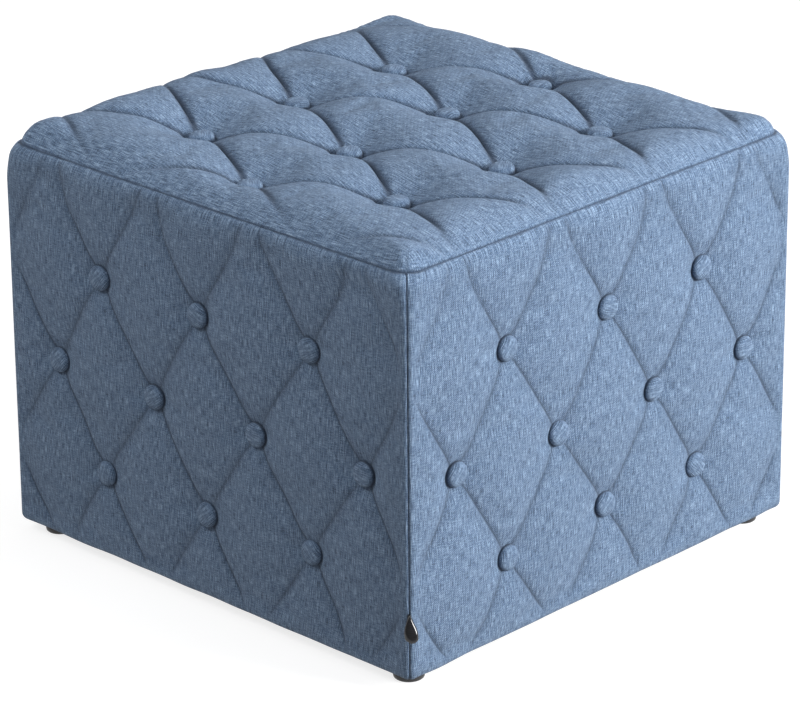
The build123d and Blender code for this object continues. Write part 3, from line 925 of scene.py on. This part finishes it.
def top_cover():
    """Deeply tufted top cover."""
    size, tuft = sizes(), tufting()
    field = tufts_of("top")
    seed = tuft.seed + 201
    half = size.seam_half
    runs, rows = (
        mirrored(np.arange(0, half - 9.5 * MM, step), half - TOP_EDGE)
        for step in (tuft.pitch / 2 / tuft.steps, tuft.top_row_pitch / tuft.steps)
    )
    x, y = np.meshgrid(runs, rows[::-1])
    near_a, near_b = field.from_pleats(x, y)
    near = np.minimum(near_a, near_b)
    distance, heading, nearest = field.from_button(x, y)
    inset_x, inset_y = half - abs(x), half - abs(y)
    inset = inset_x * inset_y / np.maximum((inset_x**3 + inset_y**3) ** (1 / 3), 1e-9)
    # The cushion swells from its seam, faster in the corners
    corner = (1 - fade(0, 70, inset_x)) * (1 - fade(0, 70, inset_y))
    swell = 1 - (1 - np.clip(inset * (1 + corner) / (52 * MM), 0, 1)) ** 2.5
    hold = 0.16 * fade(0, 10, inset) + 0.84 * fade(4, 72, inset)
    dimple, dimple_run = 13 * MM, 54 * MM
    crown = size.crown_height - size.seam_height
    z = size.seam_height + crown * swell - tuft.top_depth * (1 - field.rise(x, y, dimple, dimple_run)) * hold
    ray_fold = 0.22 * MM * rays(heading, nearest, few=(8, 1.7), many=(13, 2.9), strength=0.8)
    z += ray_fold * fade(10, 18, distance) * np.exp(-distance / (20 * MM))
    # Small pits where the pleats run in under a button
    pit_ring, pit_width, pit_depth = 13.5 * MM, 5 * MM, 5.5 * MM
    pit = np.exp(-(((distance - pit_ring) / pit_width) ** 2))
    pit *= np.exp(-near_a / (3.5 * MM)) + 0.5 * np.exp(-near_b / (3 * MM))
    z -= pit_depth * pit
    z += 0.45 * MM * uneven(x, y, 80 * MM, seed + 3) * fade(0, 25, inset)
    for spot_x, spot_y, lift, reach in FULL_SPOTS:
        away = np.hypot(x - spot_x * MM, y - spot_y * MM) / (reach * MM)
        z += lift * MM * np.exp(-(away**2)) * fade(0, 18, inset)
    along_seam = np.where(inset_x < inset_y, y, x)
    z += 0.22 * MM * pucker(along_seam, inset, 12 * MM, seed + 5) * fade(0, 3, inset)
    z -= 1.2 * MM * np.exp(-inset / (0.8 * MM))
    stray_x, stray_y = np.moveaxis(field.stray(x, y) * fade(0, 50, inset)[..., None], -1, 0)
    round_x, round_y = square_to_round(x, y, half, size.seam_corner_radius)
    points = np.stack([round_x + stray_x, round_y + stray_y, z], -1)
    held = (near < HELD_PLEAT) | (distance < HELD_BUTTON) | (inset < HELD_BORDER)
    held[[0, -1]] = True
    held[:, [0, -1]] = True
    points = blown("top_blank", points, held, slack=0.002, most=4.0 * MM).reshape(-1, 3)
    index, faces = grid_faces(field.lines(x, y))
    loop = border_of(index)
    tucked = points[loop].copy()
    tucked[:, :2] *= (size.inner_face - 0.5 * MM) / half
    tucked[:, 2] -= 0.4 * MM
    base = tucked.copy()
    base[:, 2] = size.top_bottom
    solid, faces = close_back(points, faces, loop, [tucked, base])
    # Painted shade: darker in the pleats and the seam, round the buttons and in the pits
    crease_shade = np.maximum(0.55 * field.crease_shade(x, y, 3.4 * MM), 1 - fade(1.4, 4.6, near)) * fade(4, 40, inset)
    fold = np.maximum.reduce(
        [
            0.9 * crease_shade,
            1 - fade(0.2, 1.5, inset),
            0.95 * (1 - fade(12, 15.5, distance)),
            np.clip(2.0 * pit, 0, 1),
        ]
    )
    # The tucked edge and the back are painted fully shaded
    fold = np.concatenate([fold.ravel(), np.ones(2 * len(loop))])
    cloth = np.stack([x, y + 3.0], -1).reshape(-1, 2)
    cloth = np.concatenate([cloth, cloth[loop], cloth[loop]])
    piece = make_piece("top_quilted_cover", solid, faces, upholstery(), cloth, fold, sharp=80)
    settle_piece(piece, "upholstery_fabric", "top_cover")


# Shapes that repeat, set out by geometry nodes
def lathe(name, profile, sides, material, wave=0.0, waves=0, shade=None):
    """Solid of revolution about Z from a profile of (radius, height), its first and last points on the axis.

    Cloth-covered where it is given the two heights over which the shade painted on its rim fades out upwards.
    """
    profile = np.array(profile, float)
    rings = profile[1:-1]
    points = [(0.0, 0.0, profile[0][1])]
    for radius, height in rings:
        for k in range(sides):
            turn = math.tau * k / sides
            r = radius * (1 + wave * math.sin(waves * turn) * (radius / rings[-1][0]) ** 2)
            points.append((r * math.cos(turn), r * math.sin(turn), height))
    points.append((0.0, 0.0, profile[-1][1]))
    points = np.array(points)
    faces = []
    for k in range(sides):
        here = [1 + j * sides + k for j in range(len(rings))]
        there = [1 + j * sides + (k + 1) % sides for j in range(len(rings))]
        faces.append((0, here[0], there[0]))
        for j in range(len(rings) - 1):
            faces.append((here[j], here[j + 1], there[j + 1], there[j]))
        faces.append((there[-1], here[-1], len(points) - 1))
    spread = fold = None
    if shade:
        run = np.concatenate([[0], np.cumsum(np.linalg.norm(np.diff(profile, axis=0), axis=1))])
        runs = np.concatenate([[0], np.repeat(run[1:-1], sides), [run[-1]]])
        radii = np.maximum(np.hypot(points[:, 0], points[:, 1]), 1e-9)
        spread = points[:, :2] / radii[:, None] * runs[:, None]
        # Painted shade: the rim is dark below the lower height and clear above the upper one
        fold = 0.9 * (1 - smoothstep(*shade, points[:, 2]))
    return make_piece(name, points, faces, material, spread, fold, sharp=60)


def tube_faces(start, rings, around):
    """Faces of a closed tube through rings of points that are numbered from the start."""
    faces = []
    for ring in range(rings - 1):
        for k in range(around):
            here = start + ring * around + k
            there = start + ring * around + (k + 1) % around
            faces.append((here, there, there + around, here + around))
    last = start + (rings - 1) * around
    faces.append(tuple(range(start + around - 1, start - 1, -1)))
    faces.append(tuple(range(last, last + around)))
    return faces


def random_value(tree, low, high, seed):
    """Random number for each point between two values."""
    node = add_node(tree, "FunctionNodeRandomValue", data_type="FLOAT")
    sockets = {socket.identifier: socket for socket in node.inputs}
    for key, value in (("Min_001", low), ("Max_001", high), ("Seed", seed)):
        feed(tree, sockets[key], value)
    return {socket.identifier: socket for socket in node.outputs}["Value_001"]


def set_shape(tree, given, points, inputs):
    """Instances of the shape that a tree is given, on points."""
    shape = add_node(tree, "GeometryNodeObjectInfo", {"Object": given["Shape"], "As Instance": True})
    inputs = {"Points": points, "Instance": shape.outputs["Geometry"], **inputs}
    return add_node(tree, "GeometryNodeInstanceOnPoints", inputs).outputs[0]


def finish_tree(tree, instances, material, out):
    """End a tree in real meshes with their material."""
    real = add_node(tree, "GeometryNodeRealizeInstances", {"Geometry": instances})
    dressed = add_node(tree, "GeometryNodeSetMaterial", {"Geometry": real.outputs[0], "Material": material})
    feed(tree, out["Geometry"], dressed.outputs[0])
    return tree


def placed_tree():
    """Tree that sets a shape on points, each turned to its own facing with a spin and size of its own."""
    found = bpy.data.node_groups.get("Set on places")
    if found:
        return found
    inputs = {"Geometry": "Geometry", "Shape": "Object", "Spin": "Float", "Size spread": "Float"}
    inputs = {**inputs, "Seed": "Int", "Finish": "Material"}
    tree, given, out = new_group("GeometryNodeTree", "Set on places", inputs, {"Geometry": "Geometry"})
    facing = add_node(tree, "GeometryNodeInputNamedAttribute", {"Name": "facing"}, data_type="FLOAT_VECTOR")
    small = maths(tree, "SUBTRACT", 1.0, given["Size spread"])
    large = maths(tree, "ADD", 1.0, given["Size spread"])
    scale = random_value(tree, small, large, given["Seed"])
    spin = random_value(tree, 0.0, given["Spin"], given["Seed"])
    turned = {"Rotation": facing.outputs["Attribute"], "Scale": scale}
    placed = set_shape(tree, given, given["Geometry"], turned)
    about = add_node(tree, "ShaderNodeCombineXYZ", {"Z": spin})
    spun = add_node(tree, "GeometryNodeRotateInstances", {"Instances": placed, "Rotation": about.outputs[0]})
    return finish_tree(tree, spun.outputs[0], given["Finish"], out)


def along_tree():
    """Tree that sets a shape along a path at an even pitch, its X axis along the path."""
    found = bpy.data.node_groups.get("Set along a path")
    if found:
        return found
    inputs = {"Geometry": "Geometry", "Shape": "Object", "Pitch": "Float", "Finish": "Material"}
    tree, given, out = new_group("GeometryNodeTree", "Set along a path", inputs, {"Geometry": "Geometry"})
    path = add_node(tree, "GeometryNodeMeshToCurve", {"Mesh": given["Geometry"]})
    spots = add_node(
        tree, "GeometryNodeCurveToPoints", {"Curve": path.outputs[0], "Length": given["Pitch"]}, mode="LENGTH"
    )
    heading = add_node(
        tree,
        "FunctionNodeAlignRotationToVector",
        {"Vector": spots.outputs["Tangent"]},
        axis="X",
        pivot_axis="AUTO",
    )
    placed = set_shape(tree, given, spots.outputs["Points"], {"Rotation": heading.outputs[0]})
    return finish_tree(tree, placed, given["Finish"], out)


def run_tree(name, mesh, tree, values, slot, *nodes):
    """Apply a tree to a mesh of points or paths and keep the result as a plain mesh piece of that name."""
    host = bpy.data.objects.new(mesh.name, mesh)
    modifier = host.modifiers.new(tree.name, "NODES")
    modifier.node_group = tree
    for item in tree.interface.items_tree:
        if item.item_type == "SOCKET" and item.in_out == "INPUT" and item.name in values:
            modifier[item.identifier] = values[item.name]
    bpy.context.scene.collection.objects.link(host)
    depsgraph = bpy.context.evaluated_depsgraph_get()
    made = bpy.data.meshes.new_from_object(host.evaluated_get(depsgraph), depsgraph=depsgraph)
    host.modifiers.remove(modifier)
    bpy.data.objects.remove(host)
    if not made.polygons:
        raise RuntimeError(f"{name} came out empty")
    made.name = name
    settle_piece(add_object(name, made), slot, *nodes)


def set_on_places(name, shape, spots, facings, slot, node, seed, size_spread=0.0):
    """Set a shape on spots, facing outwards and spun at random, and drop the loose shape."""
    mesh = bpy.data.meshes.new(f"{name}_places")
    mesh.from_pydata([tuple(spot) for spot in spots], [], [])
    attribute = mesh.attributes.new("facing", "FLOAT_VECTOR", "POINT")
    attribute.data.foreach_set("vector", np.asarray(facings, np.float32).ravel())
    values = {"Shape": shape, "Spin": math.tau, "Size spread": size_spread, "Seed": seed}
    values["Finish"] = shape.data.materials[0]
    run_tree(name, mesh, placed_tree(), values, slot, node)
    bpy.data.objects.remove(shape)


def set_along(name, shape, paths, pitch, slot):
    """Set a shape along paths at an even pitch."""
    points, edges = [], []
    for path in paths:
        start = len(points)
        points += [tuple(point) for point in path]
        edges += [(start + i, start + i + 1) for i in range(len(path) - 1)]
    mesh = bpy.data.meshes.new(f"{name}_paths")
    mesh.from_pydata(points, edges, [])
    values = {"Shape": shape, "Pitch": pitch, "Finish": shape.data.materials[0]}
    run_tree(name, mesh, along_tree(), values, slot)


def on_face(label, places, out):
    """Spots of places on a face at a distance out, and the turns that face a shape's Z axis out of it."""
    level = np.full(len(places), out)
    if label == "top":
        return np.column_stack([places, level]), np.zeros((len(places), 3))
    spots = turn_about_z(np.stack([places[:, 0], level, places[:, 1]], 1), SIDES[label])
    return spots, np.tile((math.pi / 2, 0.0, math.radians(SIDES[label])), (len(places), 1))


# Profile of a button as shares of its radius and height: a nearly flat face that rolls over to a rim
BUTTON_PROFILE = (
    (0, 1), (0.32, 0.99), (0.58, 0.955), (0.77, 0.88), (0.89, 0.75), (0.965, 0.55),
    (0.995, 0.32), (1, 0.12), (0.975, -0.02), (0.91, -0.10), (0, -0.10),
)


def button_shape(rise, dark):
    """One covered button, with shade painted on its rim below a share of its height."""
    radius = trim().button_radius
    profile = [(out * radius, up * rise) for out, up in BUTTON_PROFILE]
    # Heights between which the painted rim shade fades out
    shade = (dark * rise, (dark + 0.25) * rise)
    weave = upholstery("button_weave")
    return lathe("button_shape", profile, sides=40, material=weave, wave=0.012, waves=19, shade=shade)


def set_buttons():
    """Ten covered buttons on every face, their rims down in the dimples, thicker ones on the top."""
    tilt = 0.04
    # Each button's rim is painted shaded below the share of its height given as dark
    for label in FACES:
        if label == "top":
            shape = button_shape(trim().top_button_rise, dark=0.28)
            out = TOP_BUTTONS_HIGH.z - 6.0 * MM
        else:
            shape = button_shape(trim().button_rise, dark=0.33)
            out = SIDE_BUTTONS_LOW.y - 0.2 * MM + trim().button_rise
        spots, facings = on_face(label, tufts_of(label).buttons(), out)
        rng = np.random.default_rng(tufting().seed + len(label))
        facings = facings + rng.normal(0, tilt, facings.shape)
        name = f"{label}_covered_buttons"
        node = f"{label}_buttons"
        set_on_places(name, shape, spots, facings, "button_fabric", node, seed=3, size_spread=0.02)


def set_ties():
    """Twisted twine behind every button."""
    for label in FACES:
        if label == "top":
            low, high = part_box("top_ties")
            run, out = high.z - low.z, low.z
        else:
            low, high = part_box("front_ties")
            run, out = high.y - low.y, high.y
        spots, facings = on_face(label, tufts_of(label).places, out)
        name = f"{label}_twine_ties"
        set_on_places(name, twine_shape(run), spots, facings, "twine", f"{label}_ties", seed=5)


def twine_shape(run):
    """Two-strand twisted twine of a run along Z from the origin."""
    strand, offset, lay, step, around = 0.5 * MM, 0.45 * MM, 5 * MM, 1.1 * MM, 6
    steps = max(8, int(run / step))
    points, faces = [], []
    for side in (0, math.pi):
        start = len(points)
        for k in range(steps + 1):
            z = run * k / steps
            turn = side + math.tau * z / lay
            x, y = offset * math.cos(turn), offset * math.sin(turn)
            for j in range(around):
                angle = math.tau * j / around
                points.append((x + strand * math.cos(angle), y + strand * math.sin(angle), z))
        faces += tube_faces(start, steps + 1, around)
    return make_piece("twine_shape", points, faces, plain_finish("waxed_twine"))


def stitch_shape():
    """One stitch: a short plump thread along X with pinched ends."""
    covered = 0.72
    width, run = trim().stitch_width, trim().stitch_pitch * covered
    rings = ((-0.5, 0.15), (-0.36, 0.85), (0.0, 1.0), (0.36, 0.85), (0.5, 0.15))
    around = 6
    points = []
    for along, girth in rings:
        lift = 0.5 * width * (0.9 - abs(along))
        radius = width * girth / 2
        for k in range(around):
            turn = math.tau * k / around
            points.append((run * along, radius * math.cos(turn), lift + radius * math.sin(turn)))
    return make_piece("stitch_shape", points, tube_faces(0, len(rings), around), plain_finish("seam_thread"))


def sew_seams():
    """Thread that shows in the top seam and the upright corner seams."""
    size = sizes()
    inset, sunk = 1.2 * MM, 1.1 * MM
    half, radius = size.seam_half - inset, size.seam_corner_radius - inset
    arc = []
    for turn in np.linspace(0, math.pi / 2, 13):
        x = half - radius + radius * math.cos(turn)
        y = half - radius + radius * math.sin(turn)
        arc.append(Vector((x, y, size.seam_height - 0.1 * MM)))
    upright = []
    for z in np.linspace(size.cover_bottom + size.bottom_roll, size.seam_height - 4 * MM, 40):
        tuck, corner = drawn_in(z)
        reach = size.half_plan - tuck - corner * (1 - math.sqrt(0.5)) - sunk
        upright.append(Vector((reach, reach, z)))
    quarters = [Matrix.Rotation(math.pi / 2 * quarter, 3, "Z") for quarter in range(4)]
    ring = [turn @ point for turn in quarters for point in arc]
    ring.append(ring[0])
    uprights = [[turn @ point for point in upright] for turn in quarters]
    shape = stitch_shape()
    set_along("top_seam_stitches", shape, [ring], trim().stitch_pitch, "upholstery_fabric")
    set_along("corner_seam_stitches", shape, uprights, trim().stitch_pitch, "upholstery_fabric")
    bpy.data.objects.remove(shape)


# Foam, carcass and underside
def foam_slab(name, node):
    """Foam sheet with softened edges."""
    low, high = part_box(node)
    span = high - low
    edge = 0.22 * min(span)
    foam = plain_finish("upholstery_foam")
    centre = (low + high) / 2
    piece = soft_box(name, centre, span, edge, segments=3, profile=0.6, material=foam, sharp=50)
    settle_piece(piece, "foam", node)


def finish_nodes(nodes, finish):
    """Give CAD nodes that stay in view their finish."""
    for node in nodes:
        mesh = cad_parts[node].data
        mesh.materials.clear()
        mesh.materials.append(plain_finish(finish))


def stretch_dust_cover():
    """Dust cover under the stool: thin cloth that hangs slightly between its staples."""
    half = DUST_HIGH.x
    steps = 97
    run = np.linspace(-half, half, steps)
    x, y = np.meshgrid(run, run[::-1])
    inset = np.minimum(half - abs(x), half - abs(y))
    sag = 1.4 * MM * fade(35, 110, inset)
    crinkle = 0.35 * MM * (1 + uneven(x, y, size=45 * MM, seed=91)) * fade(20, 60, inset)
    centre = FEET_HIGH.x - trim().foot_radius
    clear = fade(18, 40, np.hypot(abs(x) - centre, abs(y) - centre))
    z = DUST_LOW.z + 0.05 * MM - (sag + np.abs(crinkle)) * clear
    lower = np.stack([x, y, z], -1).reshape(-1, 3)
    upper = lower + np.array([0, 0, 0.45 * MM])
    count = len(lower)
    index = np.arange(count).reshape(steps, steps)
    quads = np.stack(cell_corners(index), -1).reshape(-1, 4)
    loop = border_of(index)
    faces = quads.tolist() + (quads[:, ::-1] + count).tolist()
    faces += np.stack([loop, loop + count, np.roll(loop, -1) + count, np.roll(loop, -1)], 1).tolist()
    points = np.concatenate([lower, upper])
    piece = make_piece("stretched_dust_cover", points, faces, plain_finish("black_dust_cloth"), sharp=60)
    settle_piece(piece, "dust_cover_cloth", "dust_cover")


def staple_dust_cover():
    """Crowns of the staples that show below the dust cover, along its four edges."""
    centre, crown, edge = (0, 0, -0.25 * MM), (10 * MM, 1.1 * MM, 0.6 * MM), 0.22 * MM
    wire = plain_finish("staple_wire")
    shape = soft_box("staple_shape", centre, crown, edge, segments=2, profile=0.5, material=wire)
    # Shares of an edge between which it is stapled
    begin, stop = 0.11, 0.89
    reach = DUST_HIGH.x - 9 * MM
    ring = np.array([(-reach, -reach), (reach, -reach), (reach, reach), (-reach, reach)])
    paths = []
    for first, last in zip(ring, np.roll(ring, -1, axis=0)):
        start = first + (last - first) * begin
        end = first + (last - first) * stop
        paths.append([(*(start + (end - start) * t), DUST_LOW.z + 0.05 * MM) for t in np.linspace(0, 1, 20)])
    set_along("dust_cover_staples", shape, paths, trim().staple_pitch, "steel")
    bpy.data.objects.remove(shape)


def set_feet():
    """Low moulded feet with a rounded rim, a ring groove and a hollow middle underneath."""
    radius, top = trim().foot_radius, FEET_HIGH.z
    # Shares of the radius, with millimetres down from the top and then up from the floor
    upper = ((0, 0), (0.97, 0), (1, 0.6), (0.995, 3.0), (0.965, 3.4), (0.96, 4.0), (0.985, 4.4))
    lower = (
        (0.955, 2.2), (0.93, 0.8), (0.88, 0.12), (0.84, 0), (0.66, 0), (0.62, 0.5), (0.60, 1.6), (0, 1.6)
    )
    profile = [(out * radius, top - drop * MM) for out, drop in upper]
    profile += [(out * radius, height * MM) for out, height in lower]
    shape = lathe("foot_shape", profile, sides=56, material=plain_finish("moulded_plastic"))
    centre = FEET_HIGH.x - radius
    spots = [(sx * centre, sy * centre, 0.0) for sx in (-1, 1) for sy in (-1, 1)]
    set_on_places("moulded_feet", shape, spots, np.zeros((4, 3)), "foot_plastic", "feet", seed=2)


def fold_tag():
    """Blank satin tag: a ribbon folded into a loop, pinched in the corner seam and open lower down."""
    size = sizes()
    diagonal = math.sqrt(0.5)
    seam = size.half_plan - size.corner_radius * (1 - diagonal)
    hem, raised, sewn_in = 1 * MM, 5 * MM, 3.0 * MM
    tall = TAG_HIGH.z - TAG_LOW.z + hem
    drop = np.linspace(0, 1, 17)[:, None]
    turn = np.linspace(0, math.tau, 41)[None, :]
    belly = np.sin(turn) * np.sin(turn / 2)
    # Lower down the loop reaches further out and opens wider
    reach = (2.0 + 8.0 * smoothstep(-0.2, 1.15, drop)) * MM
    width = (0.5 + 7.0 * smoothstep(-0.15, 0.8, drop)) * MM
    out = reach * (1 - np.cos(turn)) / 2 - sewn_in * (1 + np.cos(turn)) / 2
    across = width * np.sin(turn) * np.sin(turn / 2) + 2.2 * MM * drop * np.sin(turn / 2)
    z = TAG_HIGH.z + raised - tall * drop + 5.0 * MM * drop**2 * belly**2
    x = -seam - diagonal * out + diagonal * across
    y = -seam - diagonal * out - diagonal * across
    points = np.stack([x, y, z], -1)
    index = np.arange(z.size).reshape(z.shape)
    quads = np.stack(cell_corners(index), -1).reshape(-1, 4)
    piece = make_piece("folded_tag", points.reshape(-1, 3), quads.tolist(), plain_finish("black_satin"))
    thick = piece.modifiers.new("Ply", "SOLIDIFY")
    thick.thickness = 0.3 * MM
    thick.offset = 0.0
    settle_piece(piece, "tag_satin", "seam_tag")


# Stage
# Soft lights: direction from the stool, distance, span in metres and power in watts
LIGHTS = {
    "key": ((0.45, -1.0, 0.38), 3.4, 1.4, 184.0),
    "left_fill": ((-0.95, 0.25, 1.0), 2.4, 0.9, 20.0),
    "overhead": ((0.1, -0.1, 1.0), 3.2, 1.6, 26.0),
}
# Camera worked out from the corners, seams and buttons that the photograph shows
AZIMUTH, ELEVATION, ROLL = math.radians(-45.95), math.radians(22.29), math.radians(-0.49)
EYE, EYE_RIGHT, EYE_UP = Vector((-2.6257, -2.5418, 1.6679)), -0.0014, 0.0008
SENSOR, FOCAL_LENGTH = 36.0, 195.46


def lay_floor():
    """Plain white floor that glows a little, so that shadows on it stay faint."""
    reach = 30.0
    corners = [(-reach, -reach, 0), (reach, -reach, 0), (reach, reach, 0), (-reach, reach, 0)]
    mesh = bpy.data.meshes.new("floor")
    mesh.from_pydata(corners, [], [(0, 1, 2, 3)])
    material, tree, shader = start_material("floor_white")
    place = tree.nodes.new("ShaderNodeTexCoord")
    texture = add_node(tree, "ShaderNodeTexNoise", {"Vector": place.outputs["Object"], "Scale": 6.0})
    tint = add_node(tree, "ShaderNodeValToRGB", {"Fac": texture.outputs["Fac"]})
    for element, grey in zip(tint.color_ramp.elements, (0.36, 0.40)):
        element.color = (grey, grey, grey, 1.0)
    feed(tree, shader.inputs["Base Color"], tint.outputs["Color"])
    shader.inputs["Roughness"].default_value = 0.9
    shader.inputs["Specular IOR Level"].default_value = 0.0
    shader.inputs["Emission Color"].default_value = (1.0, 1.0, 1.0, 1.0)
    shader.inputs["Emission Strength"].default_value = 0.78
    mesh.materials.append(material)
    floor = add_object("floor", mesh)
    floor.visible_diffuse = False


def hang_lights():
    """Key light from the front right, a weaker one from the back left, and a soft one overhead."""
    scene = bpy.context.scene
    scene.view_settings.view_transform = "Standard"
    world = bpy.data.worlds.new("studio")
    world.use_nodes = True
    background = world.node_tree.nodes["Background"]
    background.inputs["Color"].default_value = (1.0, 1.0, 1.0, 1.0)
    background.inputs["Strength"].default_value = 0.26
    scene.world = world
    middle = Vector((0, 0, 0.2))
    for name, (direction, distance, span, power) in LIGHTS.items():
        lamp = bpy.data.lights.new(name, "AREA")
        lamp.size = span
        lamp.energy = power
        light = add_object(name, lamp)
        heading = Vector(direction).normalized()
        light.location = heading * distance + middle
        light.rotation_mode = "QUATERNION"
        light.rotation_quaternion = heading.to_track_quat("Z", "Y")


def set_camera():
    """Camera at the photograph's angle."""
    level = math.cos(ELEVATION)
    back = Vector((math.sin(AZIMUTH) * level, -math.cos(AZIMUTH) * level, math.sin(ELEVATION)))
    right = Vector((math.cos(AZIMUTH), math.sin(AZIMUTH), 0))
    up = back.cross(right)
    leaned_right = math.cos(ROLL) * right + math.sin(ROLL) * up
    leaned_up = -math.sin(ROLL) * right + math.cos(ROLL) * up
    lens = bpy.data.cameras.new("camera")
    lens.sensor_width = SENSOR
    lens.lens = FOCAL_LENGTH
    lens.clip_end = 100.0
    camera = add_object("camera", lens)
    turn = Matrix((leaned_right, leaned_up, back)).transposed().to_4x4()
    eye = EYE + EYE_UP * leaned_up + EYE_RIGHT * leaned_right
    camera.matrix_world = Matrix.Translation(eye) @ turn
    bpy.context.scene.camera = camera


# Operators, one for each piece or group of like pieces
class FOOTSTOOL_OT_stage(bpy.types.Operator):
    """Lay the pale floor, hang the soft lights and set up the camera"""

    bl_idname = "footstool.stage"
    bl_label = "Stage"

    def execute(self, context):
        lay_floor()
        hang_lights()
        set_camera()
        return {"FINISHED"}


class FOOTSTOOL_OT_side_covers(bpy.types.Operator):
    """Make the four quilted side covers"""

    bl_idname = "footstool.side_covers"
    bl_label = "Side covers"

    def execute(self, context):
        for number, side in enumerate(SIDES):
            side_cover(side, number)
        return {"FINISHED"}


class FOOTSTOOL_OT_top_cover(bpy.types.Operator):
    """Make the deeply tufted top cover"""

    bl_idname = "footstool.top_cover"
    bl_label = "Top cover"

    def execute(self, context):
        top_cover()
        return {"FINISHED"}


class FOOTSTOOL_OT_buttons(bpy.types.Operator):
    """Set the covered buttons on every face"""

    bl_idname = "footstool.buttons"
    bl_label = "Covered buttons"

    def execute(self, context):
        set_buttons()
        return {"FINISHED"}


class FOOTSTOOL_OT_seams(bpy.types.Operator):
    """Sew the top seam and the corner seams"""

    bl_idname = "footstool.seams"
    bl_label = "Seam stitches"

    def execute(self, context):
        sew_seams()
        return {"FINISHED"}


class FOOTSTOOL_OT_tag(bpy.types.Operator):
    """Fold the blank tag into the near corner seam"""

    bl_idname = "footstool.tag"
    bl_label = "Blank tag"

    def execute(self, context):
        fold_tag()
        return {"FINISHED"}


class FOOTSTOOL_OT_feet(bpy.types.Operator):
    """Make the four moulded feet"""

    bl_idname = "footstool.feet"
    bl_label = "Feet"

    def execute(self, context):
        set_feet()
        return {"FINISHED"}


class FOOTSTOOL_OT_underside(bpy.types.Operator):
    """Stretch the dust cover under the stool and staple it"""

    bl_idname = "footstool.underside"
    bl_label = "Dust cover"

    def execute(self, context):
        stretch_dust_cover()
        staple_dust_cover()
        return {"FINISHED"}


class FOOTSTOOL_OT_ties(bpy.types.Operator):
    """Run twine behind every button and finish the toggles"""

    bl_idname = "footstool.ties"
    bl_label = "Twine and toggles"

    def execute(self, context):
        set_ties()
        finish_nodes([f"{label}_toggles" for label in FACES], "pale_plastic")
        return {"FINISHED"}


class FOOTSTOOL_OT_foam(bpy.types.Operator):
    """Make the foam sheets under the covers"""

    bl_idname = "footstool.foam"
    bl_label = "Foam"

    def execute(self, context):
        for label in ("seat", *SIDES):
            foam_slab(f"{label}_foam_slab", f"{label}_foam")
        return {"FINISHED"}


class FOOTSTOOL_OT_carcass(bpy.types.Operator):
    """Finish the boards, posts, rails and bolts of the carcass"""

    bl_idname = "footstool.carcass"
    bl_label = "Carcass"

    def execute(self, context):
        posts = [f"{face}_{hand}_post" for face in ("front", "back") for hand in ("left", "right")]
        finish_nodes(posts, "pine_upright")
        for sides, grain in ((("front", "back"), "pine_crosswise"), (("left", "right"), "pine_lengthwise")):
            rails = [f"{side}_{level}_rail" for side in sides for level in ("top", "bottom")]
            finish_nodes(rails, grain)
        finish_nodes([f"{side}_board" for side in SIDES], "brown_hardboard")
        finish_nodes(["seat_board"], "birch_plywood")
        finish_nodes(["foot_bolts"], "bolt_steel")
        return {"FINISHED"}


OPERATORS = (
    FOOTSTOOL_OT_stage,
    FOOTSTOOL_OT_side_covers,
    FOOTSTOOL_OT_top_cover,
    FOOTSTOOL_OT_buttons,
    FOOTSTOOL_OT_seams,
    FOOTSTOOL_OT_tag,
    FOOTSTOOL_OT_feet,
    FOOTSTOOL_OT_underside,
    FOOTSTOOL_OT_ties,
    FOOTSTOOL_OT_foam,
    FOOTSTOOL_OT_carcass,
)


class FOOTSTOOL_PT_sidebar(bpy.types.Panel):
    """Sidebar panel with the footstool's pieces in order"""

    bl_label = "Tufted footstool"
    bl_space_type = "VIEW_3D"
    bl_region_type = "UI"
    bl_category = "Footstool"

    def draw(self, context):
        for operator in OPERATORS:
            self.layout.operator(operator.bl_idname)
        for name, group in SETTINGS.items():
            column = self.layout.column(align=True)
            for key in group.__annotations__:
                column.prop(getattr(context.scene, name), key)


def register():
    """Make the settings, operators and panel known to Blender."""
    for name, group in SETTINGS.items():
        bpy.utils.register_class(group)
        setattr(bpy.types.Scene, name, bpy.props.PointerProperty(type=group))
    for shown in (*OPERATORS, FOOTSTOOL_PT_sidebar):
        bpy.utils.register_class(shown)


def unregister():
    """Take them out again, in reverse order."""
    for shown in (FOOTSTOOL_PT_sidebar, *reversed(OPERATORS)):
        bpy.utils.unregister_class(shown)
    for name, group in reversed(SETTINGS.items()):
        delattr(bpy.types.Scene, name)
        bpy.utils.unregister_class(group)


def main():
    """Dress the frame, piece by piece."""
    register()
    bpy.ops.footstool.stage()
    bpy.ops.footstool.side_covers()
    bpy.ops.footstool.top_cover()
    bpy.ops.footstool.buttons()
    bpy.ops.footstool.seams()
    bpy.ops.footstool.tag()
    bpy.ops.footstool.feet()
    bpy.ops.footstool.underside()
    bpy.ops.footstool.ties()
    bpy.ops.footstool.foam()
    bpy.ops.footstool.carcass()


if __name__ == "__main__":
    main()
